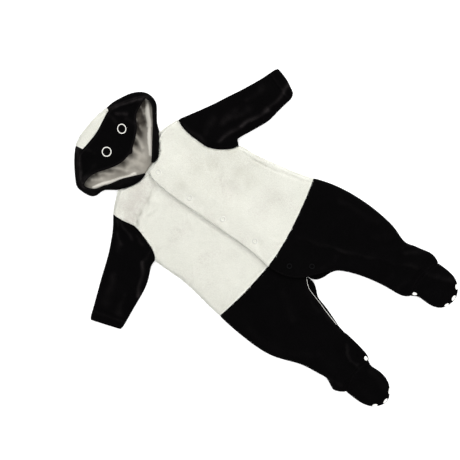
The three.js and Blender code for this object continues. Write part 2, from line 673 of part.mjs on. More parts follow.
// ---------------------------------------------------------------- hood
const STRIP = [0, 0.5, 0.84, 1];
function hood() {
  const seam = pairs(FACE, 'seamX', 'seamY');
  const rim = pairs(FACE, 'rimX', 'rimY');
  const brim = pairs(FACE, 'x', 'brimY');
  panel('hood_face', ruled(brim, seam, [0, 0.12, 0.35, 0.6, 0.82, 1]),
    { material: materials.velour });
  const strip = (name, from, to, options) => panel(name, ruled(from, to, STRIP), options);
  strip('hood_crown', seam.slice(CROWN_FROM, CROWN_TO + 1), rim.slice(CROWN_FROM, CROWN_TO + 1),
    { wall: VELOUR_WALL, material: materials.plush });
  strip('hood_side_right',
    [...seam.slice(0, CROWN_FROM + 1).reverse(), ...pairs(CHEEK_RIGHT, 'inX', 'inY')],
    [...rim.slice(0, CROWN_FROM + 1).reverse(), ...pairs(CHEEK_RIGHT, 'rimX', 'rimY')],
    { material: materials.velour });
  strip('hood_side_left',
    [...seam.slice(CROWN_TO), ...pairs(CHEEK_LEFT, 'inX', 'inY')],
    [...rim.slice(CROWN_TO), ...pairs(CHEEK_LEFT, 'rimX', 'rimY')],
    { lift: lap, material: materials.velour });
  hoodBack(rim);
  hoodLining();
}

// The hood's back lies on the surface. Its rows join the rim's two sides, and its first
// row is the neck seam.
const HOOD_COLUMNS = [0, 0.011, 0.045, 0.12, 0.25, 0.38, 0.5, 0.62, 0.75, 0.88, 0.955, 0.989, 1];
function hoodBack(rim) {
  const middle = (CROWN_FROM + CROWN_TO) / 2;
  const right = [
    ...pairs(CHEEK_RIGHT.slice(0, NOTCH), 'rimX', 'rimY').reverse(), ...rim.slice(0, middle)];
  const left = [
    ...pairs(CHEEK_LEFT.slice(0, NOTCH), 'rimX', 'rimY').reverse(),
    ...rim.slice(middle + 1).reverse()];
  const grid = ruled(right, left, HOOD_COLUMNS);
  const top = backTopRow();
  grid[0] = top.slice(NOTCH_ROW, top.length - NOTCH_ROW);
  panel('hood_back', grid, { upper: false, material: materials.velour });
}

function hoodLining() {
  const grid = ruled(
    pairs(LINING, 'rightX', 'y'), pairs(LINING, 'leftX', 'y'), [0, 0.12, 0.3, 0.5, 0.7, 0.88, 1]);
  const points = grid.map((row) => row.map((p) => ({
    position: new THREE.Vector3(p.x, p.y, LINING_LEVEL + JERSEY_WALL), normal: UP })));
  add('hood_lining', wallGeometry(points, JERSEY_WALL), materials.jersey);
}

// ---------------------------------------------------------------- what lies on the panels
const EYES = table('name x y outer inner', [
  ['eye_ring_right', -19, 431, 9.3, 5.2],
  ['eye_ring_left', 29, 432, 9.6, 5.4],
]);
const EYE_WALL = 0.9;
const EYE_SIDES = 20;

// The point and normal of a panel's own upper face at plan point p.
function onPanel(name, p) {
  const mesh = group.getObjectByName(name);
  const down = new THREE.Vector3(0, 0, -1);
  const ray = new THREE.Raycaster(new THREE.Vector3(p.x, p.y, 10 * FLAT_TOP), down);
  const [hit] = ray.intersectObject(mesh, false);
  return { position: hit.point, normal: hit.face.normal };
}

function eyeRings() {
  for (const eye of EYES) {
    const grid = [];
    for (const radius of [eye.inner, eye.outer]) {
      const row = [];
      for (let k = 0; k < EYE_SIDES; k++) {
        const angle = (k / EYE_SIDES) * 2 * Math.PI;
        const p = point(eye.x + radius * Math.cos(angle), eye.y + radius * Math.sin(angle));
        const { position } = onPanel('hood_face', p);
        position.addScaledVector(UP, SEAM_GAP + EYE_WALL);
        row.push({ position, normal: UP });
      }
      grid.push(row);
    }
    add(eye.name, wallGeometry(grid, EYE_WALL, true), materials.thread);
  }
}

const SNAPS = table('x y panel material', [
  [3, 336, 'front_left', 'snapWhite'], [-3, 266, 'front_left', 'snapWhite'],
  [-1, 197, 'front_left', 'snapWhite'], [-1, 129, 'front_left', 'snapWhite'],
  [-3, 55, 'leg_front_left', 'snapBlack'], [19, 22, 'leg_front_left', 'snapBlack'],
]);
const SNAP = { outer: 4.75, inner: 3.1, height: 1.2, chamfer: 0.4, sides: 12 };
function snaps() {
  SNAPS.forEach((snap, index) => {
    const profile = [
      [SNAP.inner, 0], [SNAP.outer, 0], [SNAP.outer - SNAP.chamfer, SNAP.height],
      [SNAP.inner + SNAP.chamfer, SNAP.height], [SNAP.inner, 0],
    ].map(([radius, height]) => point(radius, height));
    const geometry = new THREE.LatheGeometry(profile, SNAP.sides);
    geometry.rotateX(Math.PI / 2);
    const mesh = add(`snap_${index + 1}`, geometry, materials[snap.material]);
    const { position, normal } = onPanel(snap.panel, point(snap.x, snap.y));
    mesh.position.copy(position.addScaledVector(normal, SEAM_GAP));
    mesh.quaternion.setFromUnitVectors(UP, normal);
  });
}

// ---------------------------------------------------------------- the garment
fronts();
back();
sleeve('sleeve_right', SLEEVE_RIGHT, pairs(ARMHOLE, 'rightX', 'rightY'));
sleeve('sleeve_left', SLEEVE_LEFT, pairs(ARMHOLE, 'leftX', 'leftY'));
leg('right', LEG_RIGHT, FOOT_RIGHT);
leg('left', LEG_LEFT, FOOT_LEFT);
facing();
hood();
eyeRings();
snaps();

// The origin is the middle of the box's underside.
group.updateMatrixWorld(true);
const box = new THREE.Box3().setFromObject(group, true);
const centre = box.getCenter(new THREE.Vector3());
group.position.set(-centre.x, -centre.y, -box.min.z);

export default group;
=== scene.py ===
"""A baby's hooded plush pramsuit with feet, laid flat on its back.

Every panel is a copy of its CAD wall, made finer, creased and finished as plush,
velour or jersey. Lengths in tables are millimetres from the garment's crotch point.
"""
import math

import bmesh
import bpy
import numpy as np
from mathutils import Matrix, Vector, noise
from mathutils.bvhtree import BVHTree
from mathutils.kdtree import KDTree


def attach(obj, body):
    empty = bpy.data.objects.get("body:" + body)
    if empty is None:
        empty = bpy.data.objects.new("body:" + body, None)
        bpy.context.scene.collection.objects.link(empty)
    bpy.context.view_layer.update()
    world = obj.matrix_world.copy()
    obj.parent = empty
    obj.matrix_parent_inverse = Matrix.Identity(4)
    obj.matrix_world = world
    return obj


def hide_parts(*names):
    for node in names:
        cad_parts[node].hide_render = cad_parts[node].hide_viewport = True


noise.seed_set(1)  # noise_vector's offsets come from this, and otherwise from the clock
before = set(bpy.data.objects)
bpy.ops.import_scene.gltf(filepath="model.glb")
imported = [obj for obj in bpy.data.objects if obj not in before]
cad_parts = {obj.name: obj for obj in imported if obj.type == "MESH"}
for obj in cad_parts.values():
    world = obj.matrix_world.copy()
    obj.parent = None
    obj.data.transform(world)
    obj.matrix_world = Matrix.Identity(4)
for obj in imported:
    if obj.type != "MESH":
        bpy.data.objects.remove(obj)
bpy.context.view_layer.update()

MM = 0.001
CROTCH = Vector((3.50, -133.00, 0.0)) * MM  # the garment's own origin, in the frame
ROLL_LEVEL = 6.8 * MM  # height of the outermost line of a rolled edge
FLAT_TOP = 13.6 * MM  # top of the two layers where they lie on each other


def table(columns, *rows):
    """Rows as dicts by column name."""
    return [dict(zip(columns.split(), row)) for row in rows]


def creases(*rows):
    """Creases by their two ends, their width and height, and how soft one flank is."""
    return table("x0 y0 x1 y1 width height soft", *rows)


def at(x, y, z=0.0):
    """A point given in garment millimetres, in the frame."""
    return CROTCH + Vector((x, y, z)) * MM


# ------------------------------------------------------------------ the garment's pieces
PLUSH_PANELS = ["back_body", "front_left", "front_right", "hood_crown"]
VELOUR_PANELS = [
    f"{part}_{side}" for part in ("sleeve", "leg_front", "leg_back", "foot_upper", "sole")
    for side in ("left", "right")]
VELOUR_PANELS += ["hood_back", "hood_face", "hood_side_left", "hood_side_right"]
UNDER_PANELS = {
    "back_body", "leg_back_left", "leg_back_right", "sole_left", "sole_right", "hood_back",
}
SNAPS = table(
    "name x y panel",
    ("snap_1", 3, 336, "front_left"), ("snap_2", -3, 266, "front_left"),
    ("snap_3", -1, 197, "front_left"), ("snap_4", -1, 129, "front_left"),
    ("snap_5", -3, 55, "leg_front_left"), ("snap_6", 19, 22, "leg_front_left"),
)

# Creases of the upper layer: a ridge where height is above 0, else a trough. soft is the
# share by which the left-hand flank, seen from the first point, is wider than the other.
UPPER_CREASES = creases(
    # left sleeve
    (106, 279, 150, 262, 3.8, 1.5, 0.5), (150, 262, 200, 240, 4, 1.9, 0.5),
    (198, 241, 262, 234, 3.8, 1.5, 0.3), (128, 262, 186, 235, 5, -1.5, 0.2),
    (182, 242, 193, 226, 3, 1.4, 0), (190, 236, 198, 225, 3, -1.2, 0),
    (104, 306, 134, 309, 8, 0.9, 0.2), (136, 292, 166, 285, 8, 1.1, 0.4),
    (158, 280, 182, 268, 7, 1, 0.2), (196, 281, 226, 270, 8, 0.9, 0.2),
    (96, 345, 92, 300, 5, 1, 0), (172, 302, 214, 286, 8, -0.8, 0),
    # right sleeve
    (-116, 270, -146, 270, 3.6, 1.2, 0), (-143, 271, -196, 243, 4.2, 1.8, 0.4),
    (-170, 262, -222, 246, 7, -1, 0.2), (-108, 348, -139, 319, 3.6, 1.5, 0.2),
    (-106, 342, -120, 308, 3.4, 1.2, 0), (-116, 346, -128, 322, 4, -1.4, 0),
    (-128, 330, -150, 318, 6, 0.9, 0.2), (-190, 300, -236, 285, 9, 0.9, 0.3),
    (-206, 262, -240, 254, 8, 0.9, 0.2), (-110, 304, -118, 286, 4, 1, 0),
    # torso, right front: the fold that falls from the shoulder, and the chest
    (-99, 315, -84, 322, 3.4, -3.4, 1.4), (-84, 322, -52, 324, 3.6, -3.4, 1.4),
    (-52, 324, -22, 329, 4, -2.2, 1.4), (-96, 306, -82, 312, 5, 1.8, 0),
    (-82, 312, -44, 313, 5.4, 1.7, 0), (-86, 346, -50, 338, 8, -0.9, 0.2),
    (-116, 262, -80, 246, 10, -0.9, 0.3), (-122, 196, -84, 186, 12, 0.8, 0.3),
    (-128, 140, -92, 126, 12, 0.9, 0.2), (-70, 112, -40, 96, 10, -0.7, 0.2),
    # torso, left front
    (26, 333, 62, 322, 9, -0.7, 0.3), (104, 264, 66, 258, 8, -1.1, 0.3),
    (112, 232, 70, 214, 12, 0.8, 0.2), (124, 168, 92, 140, 10, 1, 0.3),
    (134, 132, 100, 104, 8, -0.9, 0.2), (90, 134, 66, 104, 10, 0.8, 0.2),
    (12, 246, 30, 208, 10, 0.6, 0.2),
    # seat and left leg, with the long fold from the snap to the instep
    (46, 70, 64, 20, 4.4, 1.2, 0.4), (64, 20, 84, -37, 4, 1.7, 0.6),
    (84, -37, 101, -78, 4, 1.7, 0.6), (101, -78, 121, -134, 4.2, 1.6, 0.5),
    (72, 24, 92, -40, 7, -1.2, 0.3), (92, -40, 112, -96, 7, -1.2, 0.3),
    (140, 46, 148, -26, 8, 1.2, 0.3), (150, 40, 156, -10, 4, -0.9, 0),
    (42, -6, 60, -4, 5, 1.1, 0.2), (20, 10, 44, -6, 5, 1.1, 0.4),
    (122, -40, 138, -62, 8, 1, 0.2), (118, -66, 142, -84, 7, -1.3, 0.2),
    (134, -90, 152, -106, 5, 1.6, 0.3), (130, -100, 156, -126, 6, 1.5, 0.4),
    (138, -96, 155, -114, 4, -1.3, 0), (104, -141, 142, -139, 5, -2, 0.2),
    (68, -120, 96, -134, 5, 1.1, 0.2), (64, -96, 84, -104, 5, 0.9, 0.2),
    # right leg
    (-48, 40, -78, -2, 9, 1, 0.3), (-24, 4, -40, -34, 5, 1.2, 0.4),
    (-32, -34, -47, -84, 5, 1.2, 0.3), (-134, 50, -138, -18, 9, 1, 0.2),
    (-128, -34, -112, -64, 8, 1, 0.2), (-60, -106, -73, -116, 3.6, 2.2, 0.3),
    (-73, -116, -79, -126, 3.6, 2.2, 0.3), (-79, -126, -79, -141, 3.8, 2, 0.3),
    (-79, -141, -84, -154, 4, 1.6, 0.3), (-52, -118, -68, -132, 5, -1.5, 0.2),
    (-88, -112, -92, -138, 6, -1.2, 0.2), (-126, -116, -124, -140, 4, 1.6, 0.2),
    (-118, -122, -106, -134, 5, -1.2, 0.2), (-66, -152, -122, -148, 5, -1.8, 0.2),
    (-100, -72, -104, -104, 8, 0.8, 0.2),
    # feet
    (121, -150, 129, -172, 5, 1.5, 0.4), (129, -172, 137, -197, 5, 1.7, 0.4),
    (92, -166, 98, -190, 9, 0.8, 0.2), (-74, -164, -84, -200, 8, 1.2, 0.3),
    (-108, -164, -112, -196, 9, 0.8, 0.2),
    # hood: its long folds, and the dents beside the eyes and over the brim
    (-94, 428, -84, 441, 4, 1.4, 0.3), (-84, 441, -62, 459, 4, 1.7, 0.5),
    (-62, 459, -43, 477, 4, 1.4, 0.5), (-52, 437, -86, 437, 6, 1.2, 0.4),
    (-38, 470, -34, 448, 4, 0.9, 0), (-44, 452, -62, 444, 7, -1.1, 0.2),
    (44, 472, 56, 462, 3.8, 1.5, 0.5), (56, 462, 84, 440, 3.8, 1.9, 0.5),
    (84, 440, 101, 426, 4, 1.6, 0.4), (45, 455, 54, 440, 3.6, 1.6, 0.2),
    (36, 468, 33, 448, 4, 1, 0), (62, 450, 76, 436, 5, -1.3, 0.2),
    (74, 437, 90, 434, 4, 1.2, 0.2), (48, 436, 50, 418, 5, 0.9, 0.2),
    (-8, 456, -14, 446, 8, -0.6, 0), (-60, 386, -36, 366, 5, 0.9, 0.2),
    (60, 380, 34, 360, 5, 0.9, 0.2), (-96, 424, -92, 408, 4, 1, 0),
)
# Creases pressed into the underside, which otherwise lies flat. Heights are depths.
UNDER_CREASES = creases(
    (-96, 300, -30, 292, 5, 1.5, 0.3), (88, 304, 24, 290, 5, 1.4, 0.3),
    (-118, 190, -60, 176, 6, 1.2, 0.2), (116, 176, 64, 150, 6, 1.3, 0.2),
    (-20, 250, 14, 200, 7, 0.9, 0.2), (-60, 128, -20, 104, 6, 1.2, 0.3),
    (70, 122, 30, 102, 6, 1.2, 0.3), (-60, 60, -104, 20, 6, 1.5, 0.3),
    (-30, -20, -80, -44, 5, 1.6, 0.3), (-50, -78, -110, -92, 5, 1.5, 0.2),
    (56, 58, 112, 24, 6, 1.5, 0.3), (44, -20, 104, -38, 5, 1.6, 0.3),
    (66, -84, 130, -94, 5, 1.5, 0.2), (-56, 420, -6, 404, 6, 1.4, 0.2),
    (66, 424, 16, 400, 6, 1.3, 0.2), (-30, 452, 34, 448, 7, 1, 0.2),
    (-128, 288, -190, 262, 5, 1.4, 0.2), (-150, 310, -220, 284, 6, 1.1, 0.2),
    (122, 286, 196, 250, 5, 1.4, 0.2), (150, 312, 216, 278, 6, 1.1, 0.2),
    (-76, -168, -116, -172, 4, 1.2, 0.2), (92, -172, 134, -176, 4, 1.2, 0.2),
)
# Lines sewn through the upper layer: the cuffs' hems, 19 mm deep, with the fold of cloth
# beside each, and the left side seam, which is turned a little to the front.
SEWN_LINES = creases(
    (255, 279, 231, 216, 1.6, -1.4, 0), (-259, 299, -242, 232, 1.6, -1.4, 0),
    (258, 277, 234, 215, 2.2, 0.8, 0), (-263, 298, -246, 231, 2.2, 0.8, 0),
    (117, 238, 116, 205, 1.5, -1.9, 0), (116, 205, 120, 180, 1.5, -1.9, 0),
    (120, 180, 126, 155, 1.5, -1.9, 0), (126, 155, 133, 128, 1.5, -1.9, 0),
    (133, 128, 140, 106, 1.5, -1.9, 0),
)

PUFF = 2.4 * MM  # how much fuller the laid cloth is than its solid, away from its edges
PUFF_REACH = 26 * MM
WAVE = 0.9 * MM  # slow unevenness of laid cloth
WAVE_SIZE = 48 * MM
SNAP_DENT = 1.1 * MM  # each snap draws the cloth down round it
SNAP_DENT_REACH = 9 * MM


# ------------------------------------------------------------------ reading the CAD walls
def merged(node):
    """A bmesh of a CAD wall with its loose triangles joined, mostly to four-sided faces."""
    bm = bmesh.new()
    bm.from_mesh(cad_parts[node].data)
    bmesh.ops.remove_doubles(bm, verts=bm.verts, dist=0.01 * MM)
    bmesh.ops.join_triangles(
        bm, faces=bm.faces, angle_face_threshold=math.radians(55),
        angle_shape_threshold=math.radians(140))
    return bm


def point_tree(points):
    """A tree that finds the nearest of these points."""
    tree = KDTree(len(points))
    for i, p in enumerate(points):
        tree.insert(p, i)
    tree.balance()
    return tree


cloth_panels = PLUSH_PANELS + VELOUR_PANELS
walls = {name: merged(name) for name in cloth_panels + ["hood_lining", "facing_edge"]}
corner_trees = {name: point_tree([v.co for v in bm.verts]) for name, bm in walls.items()}
rolled_tree = point_tree([
    Vector((v.co.x, v.co.y, 0)) for name in cloth_panels for v in walls[name].verts
    if abs(v.co.z - ROLL_LEVEL) < 0.3 * MM])


# ------------------------------------------------------------------ the lie of the cloth
def smooth(value, low, high):
    """0 up to low, 1 from high, and an even rise between them."""
    share = np.clip((value - low) / (high - low), 0, 1)
    return share * share * (3 - 2 * share)


def bell(distance, width):
    """1 at no distance, about a third at width and nothing far off."""
    return np.exp(-(distance / width) ** 2)


def reach_from(plan, x, y):
    """How far plan points in metres are from a garment point."""
    return np.hypot(*(plan - np.array(at(x, y))[:2]).T)


def relief(points, creases, wander=1.0):
    """Height of the creases at plan points, an array of shape (n, 2) in metres. wander is
    how freely they bend and swell: 0 for what is sewn."""
    ridges, troughs = np.zeros((2, len(points)))
    for k, c in enumerate(creases):
        start = np.array(at(c["x0"], c["y0"]))[:2]
        along = np.array(at(c["x1"], c["y1"]))[:2] - start
        length = np.linalg.norm(along)
        along /= length
        across = np.array((-along[1], along[0]))
        place = points - start
        share = place @ along / length
        bend = wander * 0.05 * length * np.sin(math.pi * share * (1.2 + 0.3 * (k % 3)) + k)
        offset = place @ across - bend * smooth(share, 0, 0.3) * smooth(-share, -1, -0.7)
        width = c["width"] * MM * (0.85 + 0.3 * np.clip(share, 0, 1))
        width = np.where(offset > 0, width * (1 + c["soft"]), width)
        beyond = np.maximum(np.maximum(-share, share - 1), 0) * length
        swell = 0.13 * np.sin(5.1 * share + 1.7 * k) + 0.07 * np.sin(13.0 * share + k)
        rise = c["height"] * MM * (1 + wander * swell) * bell(np.hypot(offset, beyond), width)
        ridges, troughs = np.maximum(ridges, rise), np.minimum(troughs, rise)
    return ridges + troughs


def slow_wave(plan, size, seed=0.0):
    """Smooth unevenness at plan points, mostly from -0.5 to 0.5."""
    return np.array([noise.noise(Vector((x / size, y / size, seed))) for x, y in plan])


def lie(points):
    """How far the laid cloth departs from its solid at points of shape (n, 3), upwards."""
    plan = points[:, :2]
    edge = np.array([rolled_tree.find(Vector((x, y, 0)))[2] for x, y in plan])
    puff = PUFF * (1 - np.exp(-edge / PUFF_REACH))
    wave = WAVE * slow_wave(plan, WAVE_SIZE) * smooth(edge, 0, 12 * MM)
    over = puff + wave + relief(plan, UPPER_CREASES) + relief(plan, SEWN_LINES, wander=0)
    for snap in SNAPS:
        over -= SNAP_DENT * bell(reach_from(plan, snap["x"], snap["y"]), SNAP_DENT_REACH)
    upper = smooth(points[:, 2], ROLL_LEVEL, FLAT_TOP - 1.2 * MM)
    lower = 1 - smooth(points[:, 2], 1.0 * MM, ROLL_LEVEL - 1.5 * MM)
    under = relief(plan, UNDER_CREASES) * smooth(edge, 3 * MM, 12 * MM)
    return over * upper + under * lower


# ------------------------------------------------------------------ cloth shells
RIM_ANGLE = math.radians(58)  # a wall's rim meets its faces more sharply than this
SEAM_REACH = 0.8 * MM  # a rim this near another panel is sewn to it
FINE_EDGE = 3.2 * MM  # longest edge of a finished panel's outer face
FINE_LINING_EDGE = 2.4 * MM
MOST_CUTS = 4  # how often a long edge is halved
FREE_RIM_CREASE = 0.45
SEAM_SINK = 1.7 * MM  # of velour, which is thinner than the plush beside it
PLUSH_SEAM_SINK = 0.9 * MM
SEAM_WIDTH = 2.6 * MM
PILE_SUNK = 2.0 * MM  # plush ground lies this far inside the solid, so its pile reaches it
CROWN_SUNK = 0.8 * MM
SUNK_BELOW = 0.25  # the share of that where the pile is pressed flat underneath
SUNK_AT_RIM = 0.1  # and at the seams
FACE, INSIDE = 0, 1


def flood(seed, walls_off):
    """The faces that join seed without crossing an edge of walls_off."""
    region, frontier = {seed}, [seed]
    while frontier:
        for edge in frontier.pop().edges:
            if edge in walls_off:
                continue
            for face in edge.link_faces:
                if face not in region:
                    region.add(face)
                    frontier.append(face)
    return region


def sewn(name, point):
    """True if another panel lies at this point of the panel."""
    return any(
        tree.find(point)[2] < SEAM_REACH
        for other, tree in corner_trees.items() if other != name)


def shell_from(name):
    """A bmesh of the panel with its rims creased and its outer face marked."""
    bm = walls[name].copy()
    crease = bm.edges.layers.float.new("crease_edge")
    rims = {
        e for e in bm.edges
        if len(e.link_faces) == 2 and e.calc_face_angle(0) > RIM_ANGLE}
    for edge in rims:
        joined = all(sewn(name, v.co) for v in edge.verts)
        edge[crease] = 1.0 if joined else FREE_RIM_CREASE
    pick = min if name in UNDER_PANELS else max
    seed = pick(bm.faces, key=lambda f: f.calc_center_median().z)
    outer = flood(seed, rims)
    for face in bm.faces:
        face.material_index = FACE if face in outer else INSIDE
    return bm


def new_object(name, data):
    """An object of the scene with this mesh, lamp or camera."""
    obj = bpy.data.objects.new(name, data)
    bpy.context.scene.collection.objects.link(obj)
    return obj


def new_piece(name, bm, material=None):
    """A piece with the faces of this bmesh, which is used up, in one material if given."""
    mesh = bpy.data.meshes.new(name)
    bm.to_mesh(mesh)
    bm.free()
    if material:
        mesh.materials.append(material)
        mesh.shade_smooth()
    return new_object(name, mesh)


def clothe(obj, material):
    """Gives both sides of a cloth piece their material."""
    for _ in (FACE, INSIDE):
        obj.data.materials.append(material)
    obj.data.shade_smooth()


def smoothed(name, piece_name, longest=None):
    """A piece with a panel's smooth surface, whose outer face has no edge over longest."""
    obj = new_piece(piece_name, shell_from(name))
    smoothing = obj.modifiers.new("smoothing", "SUBSURF")
    smoothing.levels = smoothing.render_levels = 2
    bpy.context.view_layer.update()
    depsgraph = bpy.context.evaluated_depsgraph_get()
    mesh = bpy.data.meshes.new_from_object(obj.evaluated_get(depsgraph))
    rough = obj.data
    obj.modifiers.clear()
    obj.data = mesh
    bpy.data.meshes.remove(rough)
    if longest:
        subdivide_long(mesh, longest)
    return obj


def subdivide_long(mesh, longest):
    """Cuts the outer face's edges until none is longer than this."""
    bm = bmesh.new()
    bm.from_mesh(mesh)
    for _ in range(MOST_CUTS):
        edges = [
            e for e in bm.edges if e.calc_length() > longest
            and any(f.material_index == FACE for f in e.link_faces)]
        if edges:
            bmesh.ops.subdivide_edges(bm, edges=edges, cuts=1, use_grid_fill=True)
    bm.to_mesh(mesh)
    bm.free()


def vectors(items, key):
    """A vector of each item, in an array of shape (n, 3)."""
    values = np.empty(3 * len(items), np.float32)
    items.foreach_get(key, values)
    return values.reshape(-1, 3).astype(float)


def co_array(mesh):
    """The mesh's points."""
    return vectors(mesh.vertices, "co")


def normal_array(mesh):
    """The normals at its points."""
    return vectors(mesh.vertex_normals, "vector")


def move_points(mesh, points):
    mesh.vertices.foreach_set("co", points.astype(np.float32).ravel())


def set_attribute(mesh, name, values):
    layer = mesh.attributes.new(name, "FLOAT", "POINT")
    layer.data.foreach_set("value", values.astype(np.float32))


def face_rim(mesh):
    """The outer face's vertices, and those on its seams and free edges, as two masks."""
    outer, inner = np.zeros((2, len(mesh.vertices)), bool)
    for polygon in mesh.polygons:
        side = outer if polygon.material_index == FACE else inner
        side[list(polygon.vertices)] = True
    rolled = np.abs(co_array(mesh)[:, 2] - ROLL_LEVEL) < 1.2 * MM
    return outer, outer & inner & ~rolled


def rim_distance(points, rim):
    """How far each point is from the nearest rim point."""
    tree = point_tree([Vector(p) for p in points[rim]])
    return np.array([tree.find(Vector(p))[2] for p in points])


FULL_HIGHLIGHT_AT = 2.0 * MM  # a ridge this high gets the full painted highlight
LEG_HIGHLIGHT = 0.55  # the legs' folds are softer than the sleeves' and get less of the painted highlight
HOOD_EDGE_HIGHLIGHT, EDGE_HIGHLIGHT = 0.3, 0.08  # how strong the painted highlight is along folded edges


def painted_velour_highlight(name, points, from_rim):
    """How strong the painted highlight on velour is, from 0 to 1: on ridges, and where it is
    folded over an edge."""
    plan = points[:, :2]
    ridges = np.clip(relief(plan, UPPER_CREASES) / FULL_HIGHLIGHT_AT, 0, 1)
    ridges += np.clip(relief(plan, SEWN_LINES, wander=0) / FULL_HIGHLIGHT_AT, 0, 0.6)
    ridges *= smooth(points[:, 2], ROLL_LEVEL - 2 * MM, FLAT_TOP - 3 * MM)
    if name.startswith(("leg", "foot", "sole")):
        ridges *= LEG_HIGHLIGHT
    edge_highlight = HOOD_EDGE_HIGHLIGHT if name.startswith("hood") else EDGE_HIGHLIGHT
    folded_highlight = edge_highlight * bell(from_rim - 1.8 * MM, 1.2 * MM)
    patchy = 0.9 + 0.3 * slow_wave(plan, 22 * MM, 7.0)
    return np.clip((ridges ** 2.5 + folded_highlight) * patchy, 0, 1)


BRIM_TUCK = {"x": 6, "y": 396, "size": 4.2, "pull": (-1.2, -4.6, 0.8)}


def brim_tuck(points):
    """A small pleat pinched in the middle of the brim, which hangs over the lining."""
    reach = reach_from(points[:, :2], BRIM_TUCK["x"], BRIM_TUCK["y"])
    return bell(reach, BRIM_TUCK["size"] * MM)[:, None] * np.array(BRIM_TUCK["pull"]) * MM


def panel_shell(name, piece_name):
    """The finished panel: smoothed, made even and fine, sunk at its seams and under its
    pile, and laid with its creases."""
    obj = smoothed(name, piece_name, FINE_EDGE)
    mesh = obj.data
    points, normals = co_array(mesh), normal_array(mesh)
    outer, rim = face_rim(mesh)
    from_rim = rim_distance(points, rim)
    near_rim = bell(from_rim, SEAM_WIDTH)
    sink = SEAM_SINK * near_rim
    if name in PLUSH_PANELS:
        sink = PLUSH_SEAM_SINK * near_rim
        share = SUNK_BELOW + (1 - SUNK_BELOW) * smooth(normals[:, 2], -0.8, -0.2)
        sunk = CROWN_SUNK if name == "hood_crown" else PILE_SUNK
        sink += sunk * (1 - (1 - SUNK_AT_RIM) * near_rim) * share
    laid = points - normals * (sink * outer)[:, None]
    laid[:, 2] += lie(points)
    if name == "hood_face":
        laid += brim_tuck(points)
    move_points(mesh, laid)
    # The painted highlight along ridges and folded edges, kept as an attribute for the
    # velour.
    set_attribute(mesh, "painted_highlight", painted_velour_highlight(name, points, from_rim))
    mesh.update()
    return obj


# ------------------------------------------------------------------ materials
def linear(code):
    """An sRGB hex colour such as "eeeee6" as linear RGBA."""
    values = [int(code[i:i + 2], 16) / 255 for i in (0, 2, 4)]
    return tuple(
        v / 12.92 if v <= 0.04045 else ((v + 0.055) / 1.055) ** 2.4 for v in values) + (1,)


def add_node(tree, kind, inputs=None, **settings):
    """Adds a node, sets its settings, and sets or links its inputs."""
    made = tree.nodes.new(kind)
    for key, value in settings.items():
        setattr(made, key, value)
    for key, value in (inputs or {}).items():
        if isinstance(value, bpy.types.NodeSocket):
            tree.links.new(value, made.inputs[key])
        else:
            made.inputs[key].default_value = value
    return made


def new_material(name):
    material = bpy.data.materials.new(name)
    material.use_nodes = True
    material.node_tree.nodes.clear()
    return material, material.node_tree


def finish_material(material, shader):
    add_node(material.node_tree, "ShaderNodeOutputMaterial", {"Surface": shader.outputs[0]})
    return material


def per_size(size):
    """The scale of a pattern whose features are this many millimetres apart."""
    return 1 / (size * MM)


def plush_ground():
    """Polyester plush, knitted and brushed: white, wholly matt, in soft clumps, and greyer
    than its pile as painted shade between the tufts.
    """
    material, tree = new_material("plush_ground")
    place = add_node(tree, "ShaderNodeTexCoord").outputs["Object"]
    clumps = add_node(tree, "ShaderNodeTexNoise", {
        "Vector": place, "Scale": per_size(5), "Detail": 3.0, "Roughness": 0.6})
    shade = add_node(tree, "ShaderNodeTexNoise", {
        "Vector": place, "Scale": per_size(55), "Detail": 1.0})
    # Painted shade: both tones are greyer than the pile, for the shade between tufts.
    tone = add_node(tree, "ShaderNodeMix", {
        "Factor": shade.outputs["Fac"], 6: linear("ecece4"), 7: linear("e5e5dc")},
        data_type="RGBA")
    pile = add_node(tree, "ShaderNodeTexNoise", {
        "Vector": place, "Scale": per_size(1.1), "Detail": 2.0})
    height = add_node(tree, "ShaderNodeMath", {
        0: clumps.outputs["Fac"], 1: pile.outputs["Fac"]}, operation="ADD")
    bump = add_node(tree, "ShaderNodeBump", {
        "Height": height.outputs[0], "Strength": 0.3, "Distance": 0.8 * MM})
    shader = add_node(tree, "ShaderNodeBsdfPrincipled", {
        "Base Color": tone.outputs[2], "Normal": bump.outputs[0], "Roughness": 0.95,
        "IOR": 1.45, "Specular IOR Level": 0.15, "Sheen Weight": 0.15,
        "Sheen Roughness": 0.6})
    return finish_material(material, shader)


def plush_pile(name, code):
    """The plush's cut fibres: matt white, in a few shades that are mixed tuft by tuft, and
    greyer in two shades that stand for painted shade and random patches."""
    material, tree = new_material(name)
    shader = add_node(tree, "ShaderNodeBsdfPrincipled", {
        "Base Color": linear(code), "Roughness": 0.9, "IOR": 1.45,
        "Specular IOR Level": 0.2, "Sheen Weight": 0.1, "Sheen Roughness": 0.5})
    return finish_material(material, shader)


